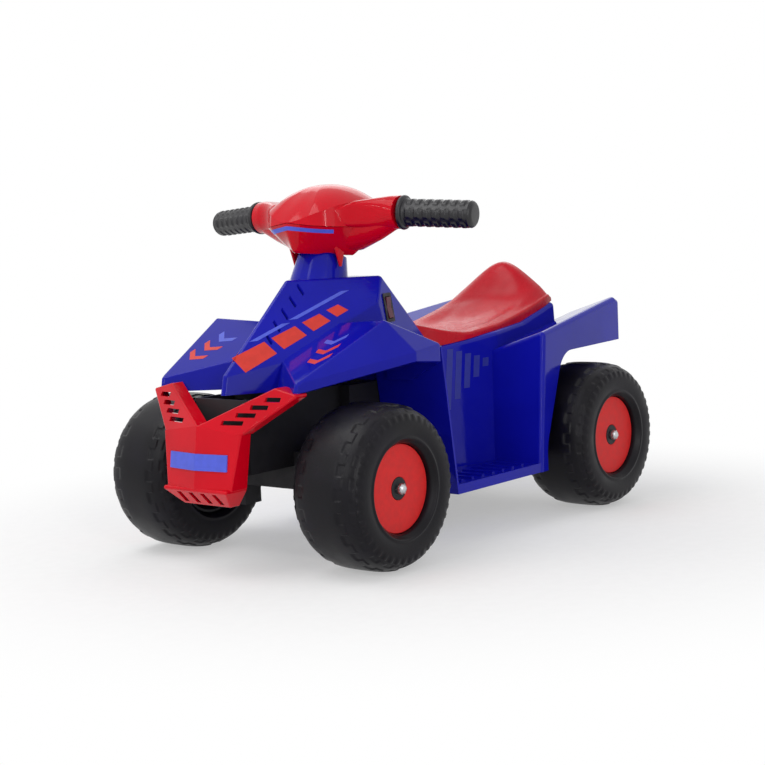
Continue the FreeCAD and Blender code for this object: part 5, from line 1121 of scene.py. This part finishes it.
def body_stickers(red, lilac, shaded_lilac, lift):
    """Dashes and lines on the hood, chevrons on the fenders and bars by the rider's legs, on both sides; the
    leg bars are lilac with painted shade in their colour.
    """
    dashes = dash_outlines(DASH_RUNS, DASH_WIDTHS, 0)
    lines = dash_outlines(LINE_RUNS, LINE_WIDTHS, LINE_ASIDE)
    point, *chevrons = chevron_outlines(CHEVRON_PLACES)
    for side, sign in SIDES.items():
        hood = BodyFace(HOOD_SPOT, HOOD_FACING, UP_AXIS, sign)
        sticker(side + "_hood_dashes", hood, dashes, red, lift, "trim_red")
        sticker(side + "_hood_lines", hood, lines, lilac, lift, "plate_lilac")
        fender = BodyFace(FENDER_SPOT, FENDER_FACING, UP_AXIS, sign)
        sticker(side + "_fender_chevrons", fender, chevrons, red, lift, "trim_red")
        sticker(side + "_fender_point", fender, [point], lilac, lift, "plate_lilac")
        leg_side = BodyFace(LEG_SPOT, LEG_FACING, SIDE_AXIS, sign)
        sticker(side + "_leg_bars", leg_side, flash_outlines(), shaded_lilac, lift, "plate_lilac")


# Stage

FLOOR_REACH = 6.0
FLOOR_POINTS = 13
FLOOR_TONES = ((0.93, 0.93, 0.935, 1.0), (0.955, 0.955, 0.96, 1.0))
FLOOR_FADE = (0.38, 0.8)
FLOOR_GLOW = 0.4
LAMP_AIM = (0, 0, 0.22)
# Name, power setting, place and size of each lamp
LAMPS = (
    ("key", "key", (0.9, -0.6, 2.1), (1.8, 1.2)),
    ("fill", "fill", (1.2, 2.2, 1.1), (1.2, 1.6)),
    ("upright_strip", "strip", (1.5, 2.1, 0.9), (0.1, 1.5)),
    ("level_strip", "strip", (2.3, -0.2, 1.3), (1.6, 0.1)),
    ("rim", "rim", (-1.6, -1.2, 1.5), (1.6, 1.0)),
)
SENSOR_WIDTH_MM = 36
VIEW_REACH = 50


def stage_floor():
    """Pale floor, a flat grid that keeps the shadow near the machine and fades to white away from it."""
    grid = np.linspace(-FLOOR_REACH, FLOOR_REACH, FLOOR_POINTS)
    x, y = np.meshgrid(grid, grid, indexing="ij")
    finish = Finish("studio_floor", Roughness=0.9, Specular_IOR_Level=0.1)
    grain = finish.noise(scale=60.0, detail=3.0)
    finish.drive("Base Color", finish.mix(grain.ramp(*SPREAD), *FLOOR_TONES))
    along, aside, _ = finish.axes()
    far = (along * along + aside * aside).root()
    share = finish.seen() * (far.ramp(*FLOOR_FADE) * (1 - FLOOR_GLOW) + FLOOR_GLOW)
    glow = finish.node("ShaderNodeEmission", {}, {"Color": WHITE, "Strength": 1.0})
    finish.show("Material Output", share, Line(finish, finish.shader.outputs[0]), glow)
    surface("studio_floor", np.stack([x, y, np.zeros_like(x)], -1), finish.material)


def studio_world(strength):
    """Even light, white to the camera, to gloss and to glass."""
    world = bpy.data.worlds.new("studio")
    bpy.context.scene.world = world
    world.use_nodes = True
    nodes = Nodes(world.node_tree)
    even = nodes.tree.nodes["Background"]
    even.inputs["Color"].default_value = WHITE
    even.inputs["Strength"].default_value = strength
    white = nodes.node("ShaderNodeBackground", {}, {"Color": WHITE, "Strength": 1.0})
    nodes.show("World Output", nodes.seen(), Line(nodes, even.outputs[0]), white)


def area_lamp(name, place, power, size):
    """Rectangular lamp at a place, turned to the middle of the machine."""
    data = bpy.data.lights.new(name, "AREA")
    data.shape = "RECTANGLE"
    data.size, data.size_y = size
    data.energy = power
    lamp = bpy.data.objects.new(name, data)
    bpy.context.scene.collection.objects.link(lamp)
    way = Vector(LAMP_AIM) - Vector(place)
    lamp.matrix_world = Matrix.Translation(place) @ way.to_track_quat("-Z", "Y").to_matrix().to_4x4()


def studio_camera(stage):
    """Camera at its eye point, turned along its line of sight and rolled about it."""
    data = bpy.data.cameras.new("camera")
    data.lens = stage.lens
    data.sensor_width = SENSOR_WIDTH_MM
    data.sensor_fit = "HORIZONTAL"
    data.clip_end = VIEW_REACH
    camera = bpy.data.objects.new("camera", data)
    bpy.context.scene.collection.objects.link(camera)
    turn = Vector(stage.look).to_track_quat("-Z", "Y").to_matrix().to_4x4()
    camera.matrix_world = Matrix.Translation(Vector(stage.eye)) @ turn @ Matrix.Rotation(stage.roll, 4, "Z")
    bpy.context.scene.camera = camera


# Operators, one for each group of pieces

class QUAD_OT_finishes(bpy.types.Operator):
    """Give every part of the frame its finish"""

    bl_idname = "quad.finishes"
    bl_label = "Finishes"

    def execute(self, context):
        tone = context.scene.quad_colours
        by_slot = {
            "body_blue": gloss_moulding(
                "body_gloss", tone.body, roughness=0.11, coat=0.08, grain=160.0, marks=draw_lines),
            "trim_red": gloss_moulding("trim_gloss", tone.trim, roughness=0.11, coat=0.08, grain=150.0),
            "seat_red": satin_moulding("seat_satin", tone.seat, roughness=0.27, shine=0.2),
            "disc_red": sheet_colour("disc_vinyl", tone.disc, roughness=0.42),
            "plate_lilac": sheet_colour("plate_vinyl", tone.lilac, roughness=0.3),
            "chassis_black": satin_moulding("black_moulding", tone.black, roughness=0.52),
            "tyre_black": rubber("tyre_rubber", tone.rubber, roughness=0.4, shine=0.19),
            "grip_black": rubber("grip_rubber", tone.rubber, roughness=0.38, shine=0.5),
            "steel": metal("steel", tone.steel),
            "nylon": satin_moulding("nylon", tone.nylon, roughness=0.45),
            "battery_grey": satin_moulding("battery_case", shade(tone.black, 3), roughness=0.5),
            "switch_maroon": gloss_moulding(
                "switch_gloss", tone.switch, roughness=0.2, coat=0.05, grain=300.0),
            "loom_black": rubber("loom_rubber", tone.black, roughness=0.5, shine=0.2),
        }
        for part in frame["record"]["subparts"]:
            frame["nodes"][part["node"]].data.materials[0] = by_slot[part["material_slot"]]
        return {"FINISHED"}


class QUAD_OT_tyres(bpy.types.Operator):
    """Put a treaded tyre on every wheel"""

    bl_idname = "quad.tyres"
    bl_label = "Tyres"

    def execute(self, context):
        for corner in CORNERS:
            tyre(corner, bpy.data.materials["tyre_rubber"], context.scene.quad_sizes)
        return {"FINISHED"}


class QUAD_OT_grips(bpy.types.Operator):
    """Put a ribbed grip on each end of the bar"""

    bl_idname = "quad.grips"
    bl_label = "Grips"

    def execute(self, context):
        for side in SIDES:
            grip(side, bpy.data.materials["grip_rubber"], context.scene.quad_sizes)
        return {"FINISHED"}


class QUAD_OT_cover(bpy.types.Operator):
    """Close the middle of the bar with its moulded cover"""

    bl_idname = "quad.cover"
    bl_label = "Handlebar cover"

    def execute(self, context):
        handlebar_cover(bpy.data.materials["trim_gloss"], context.scene.quad_sizes)
        return {"FINISHED"}


class QUAD_OT_seat(bpy.types.Operator):
    """Lay the scooped seat on its bed"""

    bl_idname = "quad.seat"
    bl_label = "Seat"

    def execute(self, context):
        seat_moulding(bpy.data.materials["seat_satin"])
        return {"FINISHED"}


class QUAD_OT_gussets(bpy.types.Operator):
    """Close the front inner corner of each footwell"""

    bl_idname = "quad.gussets"
    bl_label = "Footwell corners"

    def execute(self, context):
        for side in SIDES:
            footwell_gusset(side, bpy.data.materials["body_gloss"])
        return {"FINISHED"}


class QUAD_OT_stickers(bpy.types.Operator):
    """Put the plain stickers on the body and the stripe on the handlebar cover"""

    bl_idname = "quad.stickers"
    bl_label = "Stickers"

    def execute(self, context):
        tone, sizes = context.scene.quad_colours, context.scene.quad_sizes
        flash = sheet_colour("flash_vinyl", tone.flash, roughness=0.3)
        # The leg bars' lilac, darkened with painted shade
        shaded_lilac = sheet_colour("dusk_vinyl", tone.shaded_lilac, roughness=0.3)
        lilac = bpy.data.materials["plate_vinyl"]
        body_stickers(flash, lilac, shaded_lilac, sizes.sticker_lift)
        cover_stripe(lilac, sizes)
        return {"FINISHED"}


class QUAD_OT_stage(bpy.types.Operator):
    """Set the floor, the lamps and the camera"""

    bl_idname = "quad.stage"
    bl_label = "Stage"

    def execute(self, context):
        stage = context.scene.quad_stage
        stage_floor()
        studio_world(stage.sky)
        for name, setting, place, size in LAMPS:
            area_lamp(name, place, getattr(stage, setting), size)
        studio_camera(stage)
        context.scene.view_settings.view_transform = "Standard"
        return {"FINISHED"}


class QUAD_PT_panel(bpy.types.Panel):
    """Settings and steps of the quad bike"""

    bl_idname = "QUAD_PT_panel"
    bl_label = "Quad bike"
    bl_space_type = "VIEW_3D"
    bl_region_type = "UI"
    bl_category = "Quad bike"

    def draw(self, context):
        for name in GROUPS:
            group = getattr(context.scene, name)
            box = self.layout.box()
            for key in group.__annotations__:
                box.prop(group, key)
        for step in STEPS:
            self.layout.operator(step.bl_idname)


STEPS = (QUAD_OT_finishes, QUAD_OT_tyres, QUAD_OT_grips, QUAD_OT_cover, QUAD_OT_seat, QUAD_OT_gussets,
         QUAD_OT_stickers, QUAD_OT_stage)
GROUPS = {"quad_colours": QuadColours, "quad_sizes": QuadSizes, "quad_stage": QuadStage}
CLASSES = tuple(GROUPS.values()) + STEPS + (QUAD_PT_panel,)


def register():
    for kind in CLASSES:
        bpy.utils.register_class(kind)
    for name, kind in GROUPS.items():
        setattr(bpy.types.Scene, name, bpy.props.PointerProperty(type=kind))


def unregister():
    for name in GROUPS:
        delattr(bpy.types.Scene, name)
    for kind in reversed(CLASSES):
        bpy.utils.unregister_class(kind)


def main():
    """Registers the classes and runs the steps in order."""
    register()
    for step in STEPS:
        group, name = step.bl_idname.split(".")
        getattr(getattr(bpy.ops, group), name)()


if __name__ == "__main__":
    main()
